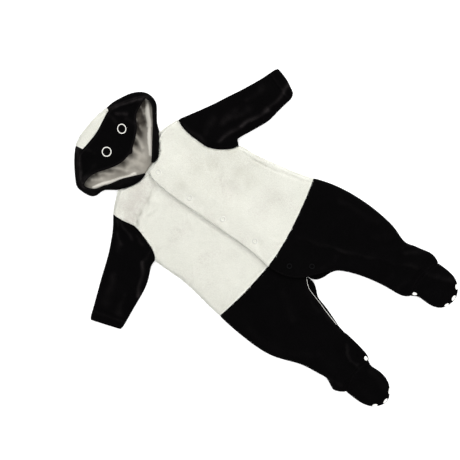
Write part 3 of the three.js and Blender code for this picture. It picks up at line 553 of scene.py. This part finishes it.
def velour():
    """Short-cut polyester velour: near black, matt from above, with a painted highlight
    along its creases and folded edges."""
    material, tree = new_material("black_velour")
    place = add_node(tree, "ShaderNodeTexCoord").outputs["Object"]
    fibre = add_node(tree, "ShaderNodeTexNoise", {
        "Vector": place, "Scale": per_size(0.9), "Detail": 3.0, "Roughness": 0.7})
    tips = add_node(tree, "ShaderNodeMapRange", {
        "Value": fibre.outputs["Fac"], "From Min": 0.35, "From Max": 0.7})
    brushed = add_node(tree, "ShaderNodeTexNoise", {
        "Vector": place, "Scale": per_size(30), "Detail": 4.0, "Roughness": 0.6})
    lying = add_node(tree, "ShaderNodeMix", {
        "Factor": brushed.outputs["Fac"], 6: linear("000000"), 7: linear("050505")},
        data_type="RGBA")
    tipped = add_node(tree, "ShaderNodeMix", {
        "Factor": tips.outputs[0], 6: lying.outputs[2], 7: linear("080708")},
        data_type="RGBA")
    painted_highlight = add_node(tree, "ShaderNodeAttribute", attribute_name="painted_highlight")
    # Painted highlight: the colour turns lighter along the ridges and folded edges the
    # attribute marks.
    highlight_tone = add_node(tree, "ShaderNodeMix", {
        "Factor": tips.outputs[0], 6: linear("131112"), 7: linear("2a2727")},
        data_type="RGBA")
    tone = add_node(tree, "ShaderNodeMix", {
        "Factor": painted_highlight.outputs["Fac"], 6: tipped.outputs[2], 7: highlight_tone.outputs[2]},
        data_type="RGBA")
    pile = add_node(tree, "ShaderNodeTexNoise", {
        "Vector": place, "Scale": per_size(1.0), "Detail": 3.0, "Roughness": 0.7})
    tufts = add_node(tree, "ShaderNodeTexNoise", {
        "Vector": place, "Scale": per_size(3.5), "Detail": 2.0})
    height = add_node(tree, "ShaderNodeMath", {
        0: pile.outputs["Fac"], 1: tufts.outputs["Fac"]}, operation="ADD")
    bump = add_node(tree, "ShaderNodeBump", {
        "Height": height.outputs[0], "Strength": 0.5, "Distance": 0.9 * MM})
    shader = add_node(tree, "ShaderNodeBsdfPrincipled", {
        "Base Color": tone.outputs[2], "Normal": bump.outputs[0], "Roughness": 0.85,
        "IOR": 1.45, "Specular IOR Level": 0.012, "Sheen Weight": 0.1,
        "Sheen Roughness": 0.3, "Sheen Tint": linear("6c6564")})
    return finish_material(material, shader)


BAND = math.tau / 20  # width of one band of the wave texture at a scale of 1


def jersey():
    """Cotton jersey: soft grey-white, kept greyer than the cloth itself as painted shade
    inside the hood, with more painted shade down in its folds, the faint ribs of its knit,
    and a band of bleached jersey, also kept greyer, where the hood's front edges are faced."""
    material, tree = new_material("jersey_knit")
    place = add_node(tree, "ShaderNodeTexCoord").outputs["Object"]
    mottle = add_node(tree, "ShaderNodeTexNoise", {
        "Vector": place, "Scale": per_size(14), "Detail": 2.0})
    painted_lining_shade = add_node(tree, "ShaderNodeAttribute", attribute_name="painted_lining_shade")
    # Painted shade: the lining's greys are darker than the cloth, darkest where the attribute
    # marks the brim, folds and hollows.
    shaded_grey = add_node(tree, "ShaderNodeMix", {
        "Factor": painted_lining_shade.outputs["Fac"], 6: linear("99958c"), 7: linear("2a2622")},
        data_type="RGBA")
    patch = add_node(tree, "ShaderNodeMapRange", {
        "Value": mottle.outputs["Fac"], "From Min": 0.4, "From Max": 0.8, "To Max": 0.4})
    soft = add_node(tree, "ShaderNodeMix", {
        "Factor": patch.outputs[0], 6: shaded_grey.outputs[2], 7: linear("6e685e")},
        data_type="RGBA")
    faced = add_node(tree, "ShaderNodeAttribute", attribute_name="faced")
    tone = add_node(tree, "ShaderNodeMix", {
        "Factor": faced.outputs["Fac"], 6: soft.outputs[2], 7: linear("c2bfb6")},
        data_type="RGBA")
    # The knit's wales are 0.7 mm apart, drawn at 1.4 mm so that they show.
    wales = add_node(tree, "ShaderNodeTexWave", {
        "Vector": place, "Scale": per_size(1.4) * BAND, "Distortion": 1.0,
        "Detail": 1.0}, bands_direction="X")
    bump = add_node(tree, "ShaderNodeBump", {
        "Height": wales.outputs["Fac"], "Strength": 0.25, "Distance": 0.3 * MM})
    shader = add_node(tree, "ShaderNodeBsdfPrincipled", {
        "Base Color": tone.outputs[2], "Normal": bump.outputs[0], "Roughness": 0.9,
        "IOR": 1.45, "Specular IOR Level": 0.2})
    return finish_material(material, shader)


def cotton(name, code, rough):
    """Mercerised cotton, as thread or twill: white with a slight lustre along the yarn."""
    material, tree = new_material(name)
    place = add_node(tree, "ShaderNodeTexCoord").outputs["Object"]
    yarn = add_node(tree, "ShaderNodeTexNoise", {
        "Vector": place, "Scale": per_size(0.9), "Detail": 2.0})
    tone = add_node(tree, "ShaderNodeMix", {
        "Factor": yarn.outputs["Fac"], 6: linear(code), 7: linear("dcdbd3")},
        data_type="RGBA")
    bump = add_node(tree, "ShaderNodeBump", {
        "Height": yarn.outputs["Fac"], "Strength": 0.3, "Distance": 0.2 * MM})
    shader = add_node(tree, "ShaderNodeBsdfPrincipled", {
        "Base Color": tone.outputs[2], "Normal": bump.outputs[0], "Roughness": rough,
        "IOR": 1.5, "Specular IOR Level": 0.4, "Sheen Weight": 0.1})
    return finish_material(material, shader)


def moulded(name, code, worn, rough, gloss=0.3):
    """Injection-moulded acetal or soft rubber: satin, with a faint mould texture."""
    material, tree = new_material(name)
    place = add_node(tree, "ShaderNodeTexCoord").outputs["Object"]
    grain = add_node(tree, "ShaderNodeTexNoise", {
        "Vector": place, "Scale": per_size(0.8), "Detail": 2.0})
    tone = add_node(tree, "ShaderNodeMix", {
        "Factor": grain.outputs["Fac"], 6: linear(code), 7: linear(worn)},
        data_type="RGBA")
    bump = add_node(tree, "ShaderNodeBump", {
        "Height": grain.outputs["Fac"], "Strength": 0.15, "Distance": 0.1 * MM})
    shader = add_node(tree, "ShaderNodeBsdfPrincipled", {
        "Base Color": tone.outputs[2], "Normal": bump.outputs[0], "Roughness": rough,
        "IOR": 1.48, "Specular IOR Level": gloss})
    return finish_material(material, shader)


ground = plush_ground()
# The last two shades are greyer tufts, used for painted shade and for random patches.
pile_shades = [plush_pile("plush_pile_" + shade, code) for shade, code in (
    ("a", "fcfcf4"), ("b", "f9f9f0"), ("c", "f5f5ec"), ("shade_and_patch", "e0dbd4"),
    ("chest_shade", "e6e5da"))]
PLAIN_SHADES, SHADE_AND_PATCH, CHEST_SHADE = 3, 3, 4
black = velour()
lining_knit = jersey()
thread = cotton("satin_stitch_cotton", "f4f3ee", 0.45)
twill = cotton("facing_cotton", "efeee8", 0.7)
snap_plastic = {
    "snap_white": moulded("acetal_white", "d2d1cb", "c8c7c1", 0.45),
    "snap_black": moulded("acetal_black", "0a0a0b", "070708", 0.55, 0.05),
}
grip_rubber = moulded("grip_rubber_white", "f2f1ec", "e8e7e1", 0.55)


# ------------------------------------------------------------------ white pile
PILE_SPACING = 0.84 * MM
PILE_LENGTH = 2.8 * MM
PILE_ROOT = 0.45 * MM
PILE_MOST = 62000  # tufts on one panel
PILE_LOWEST = 0.1 * MM  # what the garment lies on presses the pile flat at this level
LAST_STEP = 0.999999  # just short of the whole area, which rounding could overstep
BRUSHED = np.array((0.05, -0.5, 0.0))  # the pile is brushed towards the feet
CLUMP_SIZE = 3.6 * MM  # tufts this near each other lean and gather together
CLUMP_LEAN, STRAY_LEAN = 0.15, 0.26  # how far they lean together, and each by itself
RING_ROOM = (2.6 * MM, 4.3 * MM, 6.5 * MM)  # pile inside a snap's ring, none, then short
SHORT_PILE = 0.55
SPILL_REACH = 2.4 * MM  # tufts this near a seam lean out over it, in uneven locks
SPILL_LEAN, SPILL_RISE, SPILL_LENGTH = 1.7, 0.5, 0.55
LOCK_SIZE = 8 * MM
CROWN_SPILL = 0.45  # how far the crown's pile lies over its seams, against the other panels'
TUFT_TURNS = (0, math.tau / 3, 2 * math.tau / 3)
TUFT_FACES = ((0, 1, 3), (1, 2, 3), (2, 0, 3))

# Painted shade on the pile: greyer tufts above the fold that falls from the right
# shoulder, along it, and lightly at the neck.
SHOULDER_FOLD = np.array(((-97, 312), (-84, 319), (-71, 321), (-51, 320), (-22, 327)))
SHOULDER_SHADE_SPOTS = table(
    "x y size share",
    (-92, 332, 13, 0.85), (-74, 342, 18, 0.9), (-52, 342, 18, 0.85), (-34, 350, 14, 0.7),
    (-70, 326, 9, 0.7), (-48, 326, 9, 0.7),
)
# More painted shade: greyer tufts over the left chest, and beside the side seam there.
CHEST_SHADE_SPOTS = table(
    "x y size share",
    (60, 258, 58, 0.4), (47, 285, 18, 0.8), (68, 268, 20, 0.8), (84, 222, 20, 0.8),
    (80, 196, 15, 0.7), (5, 290, 12, 0.8), (104, 252, 20, 0.7), (122, 205, 18, 0.8),
)


def painted_shade_share(spots, x, y):
    """The share of tufts that the spots of a painted shade table take at garment points."""
    share = np.zeros(len(x))
    for spot in spots:
        reach = np.hypot(x - spot["x"], y - spot["y"])
        share = np.maximum(share, spot["share"] * bell(reach, spot["size"]))
    return share


def shade_and_patch_shares(points):
    """The shares of greyer tufts, on the upper layer alone: painted shade at the right
    shoulder together with random patches, and painted shade over the left chest.
    """
    x, y = ((points[:, :2] - np.array(CROTCH)[:2]) / MM).T
    shade_and_patch = painted_shade_share(SHOULDER_SHADE_SPOTS, x, y)
    shade_and_patch *= smooth(y - np.interp(x, *SHOULDER_FOLD.T), -1.5, 2.5)
    patchy = 0.35 * np.clip(slow_wave(points[:, :2], 34 * MM, 11.0), 0, 1)
    upper = smooth(points[:, 2], ROLL_LEVEL, FLAT_TOP - 2 * MM)
    return np.maximum(shade_and_patch, patchy) * upper, painted_shade_share(CHEST_SHADE_SPOTS, x, y) * upper


def tuft_roots(mesh, draw):
    """Evenly strewn points on the outer face of a plush panel, and the normals there."""
    mesh.calc_loop_triangles()
    count = len(mesh.loop_triangles)
    corners = np.empty(3 * count, np.int32)
    slots = np.empty(count, np.int32)
    mesh.loop_triangles.foreach_get("vertices", corners)
    mesh.loop_triangles.foreach_get("material_index", slots)
    corners = corners.reshape(-1, 3)[slots == FACE]
    points, normals = co_array(mesh), normal_array(mesh)
    a, b, c = (points[corners[:, i]] for i in range(3))
    areas = np.linalg.norm(np.cross(b - a, c - a), axis=1) / 2
    tufts = min(int(areas.sum() / PILE_SPACING ** 2), PILE_MOST)
    # Even steps through the whole area, each a little off, so that no bare spots are left.
    steps = (np.arange(tufts) + draw.random(tufts)) / tufts
    chosen = np.searchsorted(np.cumsum(areas) / areas.sum(), np.minimum(steps, LAST_STEP))
    u, v = draw.random((2, tufts, 1))
    u, v = np.where(u + v > 1, 1 - u, u), np.where(u + v > 1, 1 - v, v)
    root = a[chosen] + u * (b - a)[chosen] + v * (c - a)[chosen]
    return root, normals[corners[chosen, 0]]


def beside_snaps(root, panel):
    """Which tufts stand clear of the panel's snap rings, and the height of each."""
    keep, height = np.ones(len(root), bool), np.ones(len(root))
    inside, clear, beside = RING_ROOM
    for snap in SNAPS:
        if snap["panel"] == panel:
            reach = reach_from(root[:, :2], snap["x"], snap["y"])
            keep &= (reach > clear) | (reach < inside)
            height[reach < beside] = SHORT_PILE
    return keep, height


def spilling(obj, root, draw):
    """The way from each tuft out over the nearest seam, how near that is, and how far the
    tuft spills over it."""
    mesh = obj.data
    tree = point_tree([Vector(p) for p in co_array(mesh)[face_rim(mesh)[1]]])
    nearest = [tree.find(Vector(p)) for p in root]
    outward = np.array([near[0] for near in nearest]) - root
    gap = np.array([near[2] for near in nearest])[:, None]
    at_rim = bell(gap, SPILL_REACH)
    spill = CROWN_SPILL if obj["panel"] == "hood_crown" else 1.0
    locks = np.clip(1.0 + 2.4 * slow_wave(root[:, :2], LOCK_SIZE, 3.0)[:, None], 0.2, 2.0)
    ragged = spill * at_rim * locks * draw.random((len(root), 1))
    return outward / np.maximum(gap, 0.2 * MM), at_rim, ragged


def tuft_shades(root, draw):
    """The shade of each tuft, by its slot."""
    shade_and_patch, chest_shade = shade_and_patch_shares(root)
    shades = draw.integers(0, PLAIN_SHADES, len(root))
    # Greyer tufts stand for painted shade, and also lie in random patches.
    is_shade_and_patch = draw.random(len(root)) < shade_and_patch
    shades[draw.random(len(root)) < chest_shade] = CHEST_SHADE
    shades[is_shade_and_patch] = SHADE_AND_PATCH
    return shades


def pile_on(obj, name, seed):
    """Tufts of three faces each over the outer face of a plush panel, leaning as brushed
    pile does, joined in one mesh."""
    draw = np.random.default_rng(seed)
    root, up = tuft_roots(obj.data, draw)
    keep, height = beside_snaps(root, obj["panel"])
    root, up, height = root[keep], up[keep], height[keep]
    tufts = len(root)
    clump = np.array([
        noise.noise_vector(Vector(p) / CLUMP_SIZE) + 0.5 * noise.noise_vector(
            Vector(p) / (0.4 * CLUMP_SIZE)) for p in root])
    lean = BRUSHED + CLUMP_LEAN * clump + STRAY_LEAN * draw.normal(size=(tufts, 3))
    out, at_rim, ragged = spilling(obj, root, draw)
    lean += out * SPILL_LEAN * ragged
    lean[:, 2] += SPILL_RISE * at_rim[:, 0]
    way = up + lean - up * (lean * up).sum(1)[:, None] * 0.6
    way /= np.linalg.norm(way, axis=1)[:, None]
    length = PILE_LENGTH * height * (0.85 + 0.25 * draw.random(tufts) + 0.1 * clump[:, 2])
    tip = root + way * (length * (1 + SPILL_LENGTH * ragged[:, 0]))[:, None]
    low = root - up * 0.3 * MM
    for ends in (tip, low):
        ends[:, 2] = np.maximum(ends[:, 2], PILE_LOWEST)
    side = np.cross(way, draw.normal(size=(tufts, 3)))
    side /= np.linalg.norm(side, axis=1)[:, None]
    other = np.cross(way, side)
    spokes = [math.cos(t) * side + math.sin(t) * other for t in TUFT_TURNS]
    corners = np.stack([*(low + PILE_ROOT * spoke for spoke in spokes), tip], axis=1)
    first = 4 * np.arange(tufts)[:, None]
    faces = np.stack([first + np.array(f) for f in TUFT_FACES], axis=1)
    made = bpy.data.meshes.new(name)
    made.from_pydata(corners.reshape(-1, 3).tolist(), [], faces.reshape(-1, 3).tolist())
    for shade in pile_shades:
        made.materials.append(shade)
    slots = np.repeat(tuft_shades(root, draw), len(TUFT_FACES))
    made.polygons.foreach_set("material_index", slots.astype(np.int32))
    made.shade_smooth()
    # The fibres of a tuft take the light of the cloth they stand on, more than their own.
    lit = np.stack([*(up + 0.35 * spoke for spoke in spokes), up + way * 0.3], axis=1)
    lit = lit.reshape(-1, 3)
    lit /= np.linalg.norm(lit, axis=1)[:, None]
    made.normals_split_custom_set_from_vertices(lit.tolist())
    piece = new_object(name, made)
    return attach(piece, "root")


# ------------------------------------------------------------------ cloth pieces
# Each panel's finished shell in its material, and the pile on the plush ones.
shells = {}
for name in cloth_panels:
    plush = name in PLUSH_PANELS
    shell = panel_shell(name, name + ("_plush" if plush else "_velour"))
    shell["panel"] = name
    clothe(shell, ground if plush else black)
    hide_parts(name)
    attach(shell, "root")
    shells[name] = shell
piles = {
    name: pile_on(shells[name], name + "_pile", seed)
    for seed, name in enumerate(PLUSH_PANELS, 1)}


def surface_tree(name):
    """A tree that finds points on a panel's finished surface."""
    mesh = shells[name].data
    return BVHTree.FromPolygons(
        [v.co for v in mesh.vertices], [p.vertices for p in mesh.polygons])


trees = {name: surface_tree(name) for name in (
    "front_left", "leg_front_left", "hood_face", "foot_upper_left", "foot_upper_right",
    "sole_left", "sole_right")}
HIGH = 0.1  # well above the garment, to look down on it from


def on_panel(name, x, y):
    """The point and normal of a panel's upper face under a plan point in metres."""
    return trees[name].ray_cast(Vector((x, y, HIGH)), Vector((0, 0, -1)))[:2]


# ------------------------------------------------------------------ lining and facing
# The hood's front edges are faced with bleached jersey, which rolls up beside them.
LINING_FACED = creases(
    (-84, 415, -54, 392, 4.2, 3, 0), (-54, 392, -24, 369, 4, 3, 0),
    (97, 426, 61, 396, 4.4, 3.2, 0), (61, 396, 22, 365, 4.4, 3.2, 0),
)
LINING_FOLDS = creases(
    (-38, 410, -27, 384, 3.2, 2, 0.3), (-20, 402, -13, 370, 3, -0.8, 0.2),
    (-8, 400, -7, 368, 3.4, 2, 0.3), (3, 399, 0, 376, 2.6, -0.8, 0.2),
    (12, 400, 7, 370, 3, 2.2, 0.3), (22, 402, 13, 380, 2.6, -0.8, 0.2),
    (33, 408, 22, 384, 3.4, 2, 0.3), (-58, 421, -43, 400, 3.6, 2, 0.2),
    (-48, 412, -35, 394, 2.8, -0.8, 0.2), (-74, 425, -64, 412, 3.6, 1.8, 0.2),
    (46, 414, 37, 398, 3.2, -0.8, 0.2), (57, 421, 48, 405, 3.4, 2, 0.2),
    (67, 424, 60, 410, 3.2, -0.8, 0.2), (80, 428, 73, 416, 3.4, 1.6, 0.2),
    (-28, 386, 12, 376, 3.4, 1.4, 0.3), (-22, 393, 18, 389, 3, -0.7, 0.2),
)
# Spots of painted shade deep in the hood's corners, where the lining turns down out of the
# light.
LINING_SHADE_SPOTS = table(
    "x y size dark",
    (57, 410, 15, 0.85), (74, 420, 10, 0.6), (34, 396, 12, 0.5), (-66, 421, 12, 0.25),
    (-42, 396, 11, 0.3), (92, 424, 9, 0.8), (-30, 386, 9, 0.3), (24, 384, 9, 0.2),
)


def painted_hollow_shade(plan):
    """How dark the painted shade in the lining's hollows is at plan points."""
    dark = np.zeros(len(plan))
    for spot in LINING_SHADE_SPOTS:
        reach = reach_from(plan, spot["x"], spot["y"])
        dark += spot["dark"] * bell(reach, spot["size"] * MM)
    return dark


def lining():
    """The hood's lining where it shows: gathered under the brim, faced at the cheeks."""
    obj = smoothed("hood_lining", "hood_lining_jersey", FINE_LINING_EDGE)
    mesh = obj.data
    points = co_array(mesh)
    plan = points[:, :2]
    faced, folds = relief(plan, LINING_FACED, wander=0.5), relief(plan, LINING_FOLDS)
    points[:, 2] += faced + folds * (1 - smooth(faced, 0, 2.5 * MM))
    move_points(mesh, points)
    # Painted shade: the faced band darkens in the listed hollows.
    lit = 1 - np.clip(painted_hollow_shade(plan), 0, 1)
    set_attribute(mesh, "faced", smooth(faced, 1.2 * MM, 2.2 * MM) * lit)
    # Painted shade: darker near the brim's edge, in the fold troughs and in the listed spots;
    # painted light on the fold ridges.
    brim = walls["hood_face"]
    under_brim = point_tree([
        Vector((v.co.x, v.co.y, 0)) for v in brim.verts if v.co.z < 10.6 * MM])
    from_brim = np.array([under_brim.find(Vector((x, y, 0)))[2] for x, y in plan])
    dark = 0.6 * bell(from_brim, 9 * MM) + 0.3 * smooth(-folds, -1 * MM, MM)
    dark += painted_hollow_shade(plan)
    set_attribute(mesh, "painted_lining_shade", np.clip(dark - smooth(folds, 0.8 * MM, 2 * MM) * 0.3, 0, 1))
    clothe(obj, lining_knit)
    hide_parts("hood_lining")
    shells["hood_lining"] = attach(obj, "root")


def facing():
    """The cotton strip at the right leg's front edge, thinner than its solid, and thinner
    still towards the foot."""
    obj = smoothed("facing_edge", "facing_edge_cotton")
    points, normals = co_array(obj.data), normal_array(obj.data)
    low = smooth(-points[:, 1], -at(0, 10).y, -at(0, -75).y)
    laid = points - normals * ((0.95 + 0.35 * low) * MM)[:, None]
    laid[:, 2] += lie(points)
    move_points(obj.data, laid)
    clothe(obj, twill)
    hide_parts("facing_edge")
    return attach(obj, "root")


lining()
facing_strip = facing()

# ------------------------------------------------------------------ eye rings
EYES = table(
    "name x y outer inner squeeze",
    ("eye_ring_right", -19, 431, 8.8, 7.0, 0.97), ("eye_ring_left", 29, 432, 8.9, 7.1, 0.9),
)
EYE_NARROW = Vector((0.73, -0.68, 0))  # the way in which the rings are narrower
STITCHES = 72
STITCH_RISE = 0.8 * MM
STITCH_SLANT, STITCH_UNEVEN = 0.10, 0.05  # how much one stitch differs from the next


def eye_ring(eye):
    """A ring of satin stitch: radial stitches side by side over a padded ring."""
    bm = bmesh.new()
    middle = (eye["outer"] + eye["inner"]) / 2 * MM
    long = (eye["outer"] - eye["inner"]) * MM
    wide = math.tau * middle / STITCHES
    centre = at(eye["x"], eye["y"])
    for k in range(STITCHES):
        made = bmesh.ops.create_uvsphere(bm, u_segments=8, v_segments=6, radius=0.5)["verts"]
        slant = STITCH_SLANT * math.sin(2.3 * k)
        reach = 1 + STITCH_UNEVEN * math.sin(5.1 * k)
        bmesh.ops.scale(
            bm, verts=made, vec=(long * 1.08 * reach, wide * 1.3, 2 * STITCH_RISE))
        bmesh.ops.rotate(bm, verts=made, matrix=Matrix.Rotation(slant, 3, "Z"))
        bmesh.ops.translate(bm, verts=made, vec=(middle, 0, 0))
        turn = Matrix.Rotation(math.tau * k / STITCHES, 3, "Z")
        bmesh.ops.rotate(bm, verts=made, matrix=turn)
    squeezed = Matrix.Scale(eye["squeeze"], 3, EYE_NARROW)
    for v in bm.verts:
        spot = centre + squeezed @ Vector((v.co.x, v.co.y, 0))
        ground_point, _ = on_panel("hood_face", spot.x, spot.y)
        v.co = Vector((spot.x, spot.y, ground_point.z + v.co.z + 0.15 * MM))
    piece = new_piece(eye["name"] + "_stitch", bm, thread)
    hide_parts(eye["name"])
    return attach(piece, "root")


eye_rings = [eye_ring(eye) for eye in EYES]

# ------------------------------------------------------------------ ring snaps
SNAP_RADIUS = 3.9 * MM
SNAP_SECTION = (0.85 * MM, 0.75 * MM)  # half width and height of the ring's section
SNAP_STAND = {"snap_white": 1.6, "snap_black": 0.5}  # mm above the cloth


def snap_ring(snap):
    """An open ring with a rounded section, pressed into the cloth."""
    bm = bmesh.new()
    section = bmesh.ops.create_circle(bm, segments=12, radius=1.0)["verts"]
    bmesh.ops.scale(bm, verts=section, vec=(SNAP_SECTION[0], SNAP_SECTION[1], 1))
    bmesh.ops.rotate(bm, verts=section, matrix=Matrix.Rotation(math.pi / 2, 3, "X"))
    bmesh.ops.translate(bm, verts=section, vec=(SNAP_RADIUS, 0, 0))
    bmesh.ops.spin(
        bm, geom=section + bm.edges[:], cent=(0, 0, 0), axis=(0, 0, 1), angle=math.tau,
        steps=36, use_merge=True)
    bmesh.ops.recalc_face_normals(bm, faces=bm.faces)
    spot = at(snap["x"], snap["y"])
    ground_point, normal = on_panel(snap["panel"], spot.x, spot.y)
    finish = "snap_white" if snap["panel"] == "front_left" else "snap_black"
    stand = ground_point + normal * SNAP_STAND[finish] * MM
    turn = normal.to_track_quat("Z", "Y").to_matrix()
    bmesh.ops.rotate(bm, verts=bm.verts, matrix=turn)
    bmesh.ops.translate(bm, verts=bm.verts, vec=stand)
    piece = new_piece(snap["name"] + "_ring", bm, snap_plastic[finish])
    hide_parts(snap["name"])
    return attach(piece, "root")


snap_rings = {snap["name"]: snap_ring(snap) for snap in SNAPS}

# ------------------------------------------------------------------ grip dots
# Dots that wrap over the toes and heels, by their middles seen from above, and rows of
# the same dots under each sole.
DOT_COLUMNS = "x y long wide turn"
GRIP_DOTS = {
    "left": table(
        DOT_COLUMNS, (97, -211, 9, 5.5, -22), (114, -214.5, 11, 7, 6),
        (133, -207.5, 10, 6, 42), (81, -153.5, 9, 6, 118)),
    "right": table(
        DOT_COLUMNS, (-84, -214, 11, 6, 24), (-60, -148, 10, 7, 68),
        (-102, -218, 11, 6, -6), (-119, -207, 10, 6, -44)),
}
SOLE_ROWS = {  # x and y of each row's middle, and its number of dots
    "left": ((114, -196, 4), (114, -178, 4), (114, -160, 3), (112, -140, 2)),
    "right": ((-97, -196, 4), (-97, -178, 4), (-95, -160, 3), (-94, -140, 2)),
}
ROW_STEP = 15  # from one dot of a row to the next
SOLE_DOT = (8 * MM, 6 * MM)
DOT_RINGS = (0.06, 0.09, 0.12)  # steps inwards from the dot's edge, as shares of its width
DOT_RISE = 0.9 * MM
DOT_PRESSED = 0.5 * MM  # under the soles, which the garment lies on


def foot_tree(side):
    """Both panels of a foot and the leg's ankle as one surface."""
    points, faces = [], []
    for name in (f"foot_upper_{side}", f"sole_{side}", f"leg_front_{side}",
                 f"leg_back_{side}"):
        mesh = shells[name].data
        first = len(points)
        points += [v.co.copy() for v in mesh.vertices]
        faces += [[first + i for i in p.vertices] for p in mesh.polygons
                  if p.material_index == FACE]
    return BVHTree.FromPolygons(points, faces)


def grip_dot(bm, tree, anchor, normal, long, wide, turn, height):
    """A domed oval of rubber that follows the cloth around anchor."""
    made = bmesh.ops.create_circle(
        bm, cap_ends=True, cap_tris=False, segments=20, radius=0.5)["verts"]
    cap = list(made[0].link_faces)
    for thickness in DOT_RINGS:
        bmesh.ops.inset_individual(bm, faces=cap, thickness=thickness)
    along = Vector((math.cos(turn), math.sin(turn), 0))
    along = (along - normal * along.dot(normal)).normalized()
    across = normal.cross(along)
    for v in {v for face in flood(cap[0], ()) for v in face.verts}:
        radius = min(1.0, 2 * math.hypot(v.co.x, v.co.y))
        spot = anchor + along * v.co.x * long + across * v.co.y * wide
        cloth, way, _, _ = tree.find_nearest(spot)
        rise = height * math.sqrt(max(0.0, 1 - radius ** 2.6))
        v.co = cloth + way * (rise - 0.1 * MM)


def grip_dots(side):
    """All the rubber dots of one foot, as one piece."""
    bm = bmesh.new()
    tree = foot_tree(side)
    for dot in GRIP_DOTS[side]:
        above = at(dot["x"], dot["y"]) + Vector((0, 0, HIGH))
        cloth, normal, _, _ = tree.ray_cast(above, Vector((0, 0, -1)))
        grip_dot(bm, tree, cloth, normal, dot["long"] * MM, dot["wide"] * MM,
                 math.radians(dot["turn"]), DOT_RISE)
    for middle, y, count in SOLE_ROWS[side]:
        for k in range(count):
            x = middle + ROW_STEP * (k - (count - 1) / 2)
            cloth, normal, _, _ = tree.find_nearest(at(x, y, -2))
            grip_dot(bm, tree, cloth, normal, *SOLE_DOT, math.pi / 2, DOT_PRESSED)
    piece = new_piece(f"grip_dots_{side}", bm, grip_rubber)
    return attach(piece, "root")


dots = {side: grip_dots(side) for side in ("left", "right")}

# ------------------------------------------------------------------ the pieces that sit on each panel
with_pieces = {name: [piles[name]] for name in PLUSH_PANELS}
with_pieces["front_left"] += [snap_rings[f"snap_{k}"] for k in (1, 2, 3, 4)]
with_pieces["leg_front_left"] = [snap_rings[f"snap_{k}"] for k in (5, 6)]
with_pieces["leg_front_right"] = [facing_strip]
with_pieces["hood_face"] = eye_rings
with_pieces["sole_left"] = [dots["left"]]
with_pieces["sole_right"] = [dots["right"]]

# ------------------------------------------------------------------ stage
CAMERA_TURN = math.radians(-55.5)
VIEW_CENTRE = at(-9.6, 176.0, 12.0)
VIEW_WIDTH = 805 * MM
CAMERA_HEIGHT = 3.0
SENSOR = 36.0
FLOOR_LEVEL = -0.45 * MM  # just under the lowest grip dots
FLOOR_GLOW = 0.3  # the table is lit from below, so it shows hardly any shadow
STUDIO_LIGHT = 1.27
KEY_LIGHT = {"size": 2.0, "energy": 58, "place": (2.6, 0.9, 2.2)}


def stage():
    """A pale table, soft light all round, a key light from the wearer's left, and a camera
    straight above."""
    bm = bmesh.new()
    bmesh.ops.create_grid(bm, x_segments=1, y_segments=1, size=3.0)
    bmesh.ops.translate(bm, verts=bm.verts, vec=(0, 0, FLOOR_LEVEL))
    floor = new_piece("floor", bm)
    material, tree = new_material("white_table")
    shader = add_node(tree, "ShaderNodeBsdfPrincipled", {
        "Base Color": linear("fdfdfd"), "Roughness": 0.9, "Specular IOR Level": 0.0,
        "Emission Color": (1, 1, 1, 1), "Emission Strength": FLOOR_GLOW})
    floor.data.materials.append(finish_material(material, shader))
    camera = bpy.data.cameras.new("camera")
    camera.lens = SENSOR * CAMERA_HEIGHT / VIEW_WIDTH
    camera.sensor_width = SENSOR
    camera.clip_end = 20
    viewer = new_object("camera", camera)
    viewer.location = VIEW_CENTRE + Vector((0, 0, CAMERA_HEIGHT))
    viewer.rotation_euler = (0, 0, CAMERA_TURN)
    bpy.context.scene.camera = viewer
    world = bpy.data.worlds.new("studio")
    world.use_nodes = True
    background = world.node_tree.nodes["Background"]
    background.inputs["Color"].default_value = (1, 1, 1, 1)
    background.inputs["Strength"].default_value = STUDIO_LIGHT
    bpy.context.scene.world = world
    lamp = bpy.data.lights.new("key_light", "AREA")
    lamp.size, lamp.energy = KEY_LIGHT["size"], KEY_LIGHT["energy"]
    key = new_object("key_light", lamp)
    key.location = KEY_LIGHT["place"]
    key.rotation_euler = key.location.to_track_quat("Z", "Y").to_euler()
    bpy.context.scene.view_settings.view_transform = "Standard"


stage()
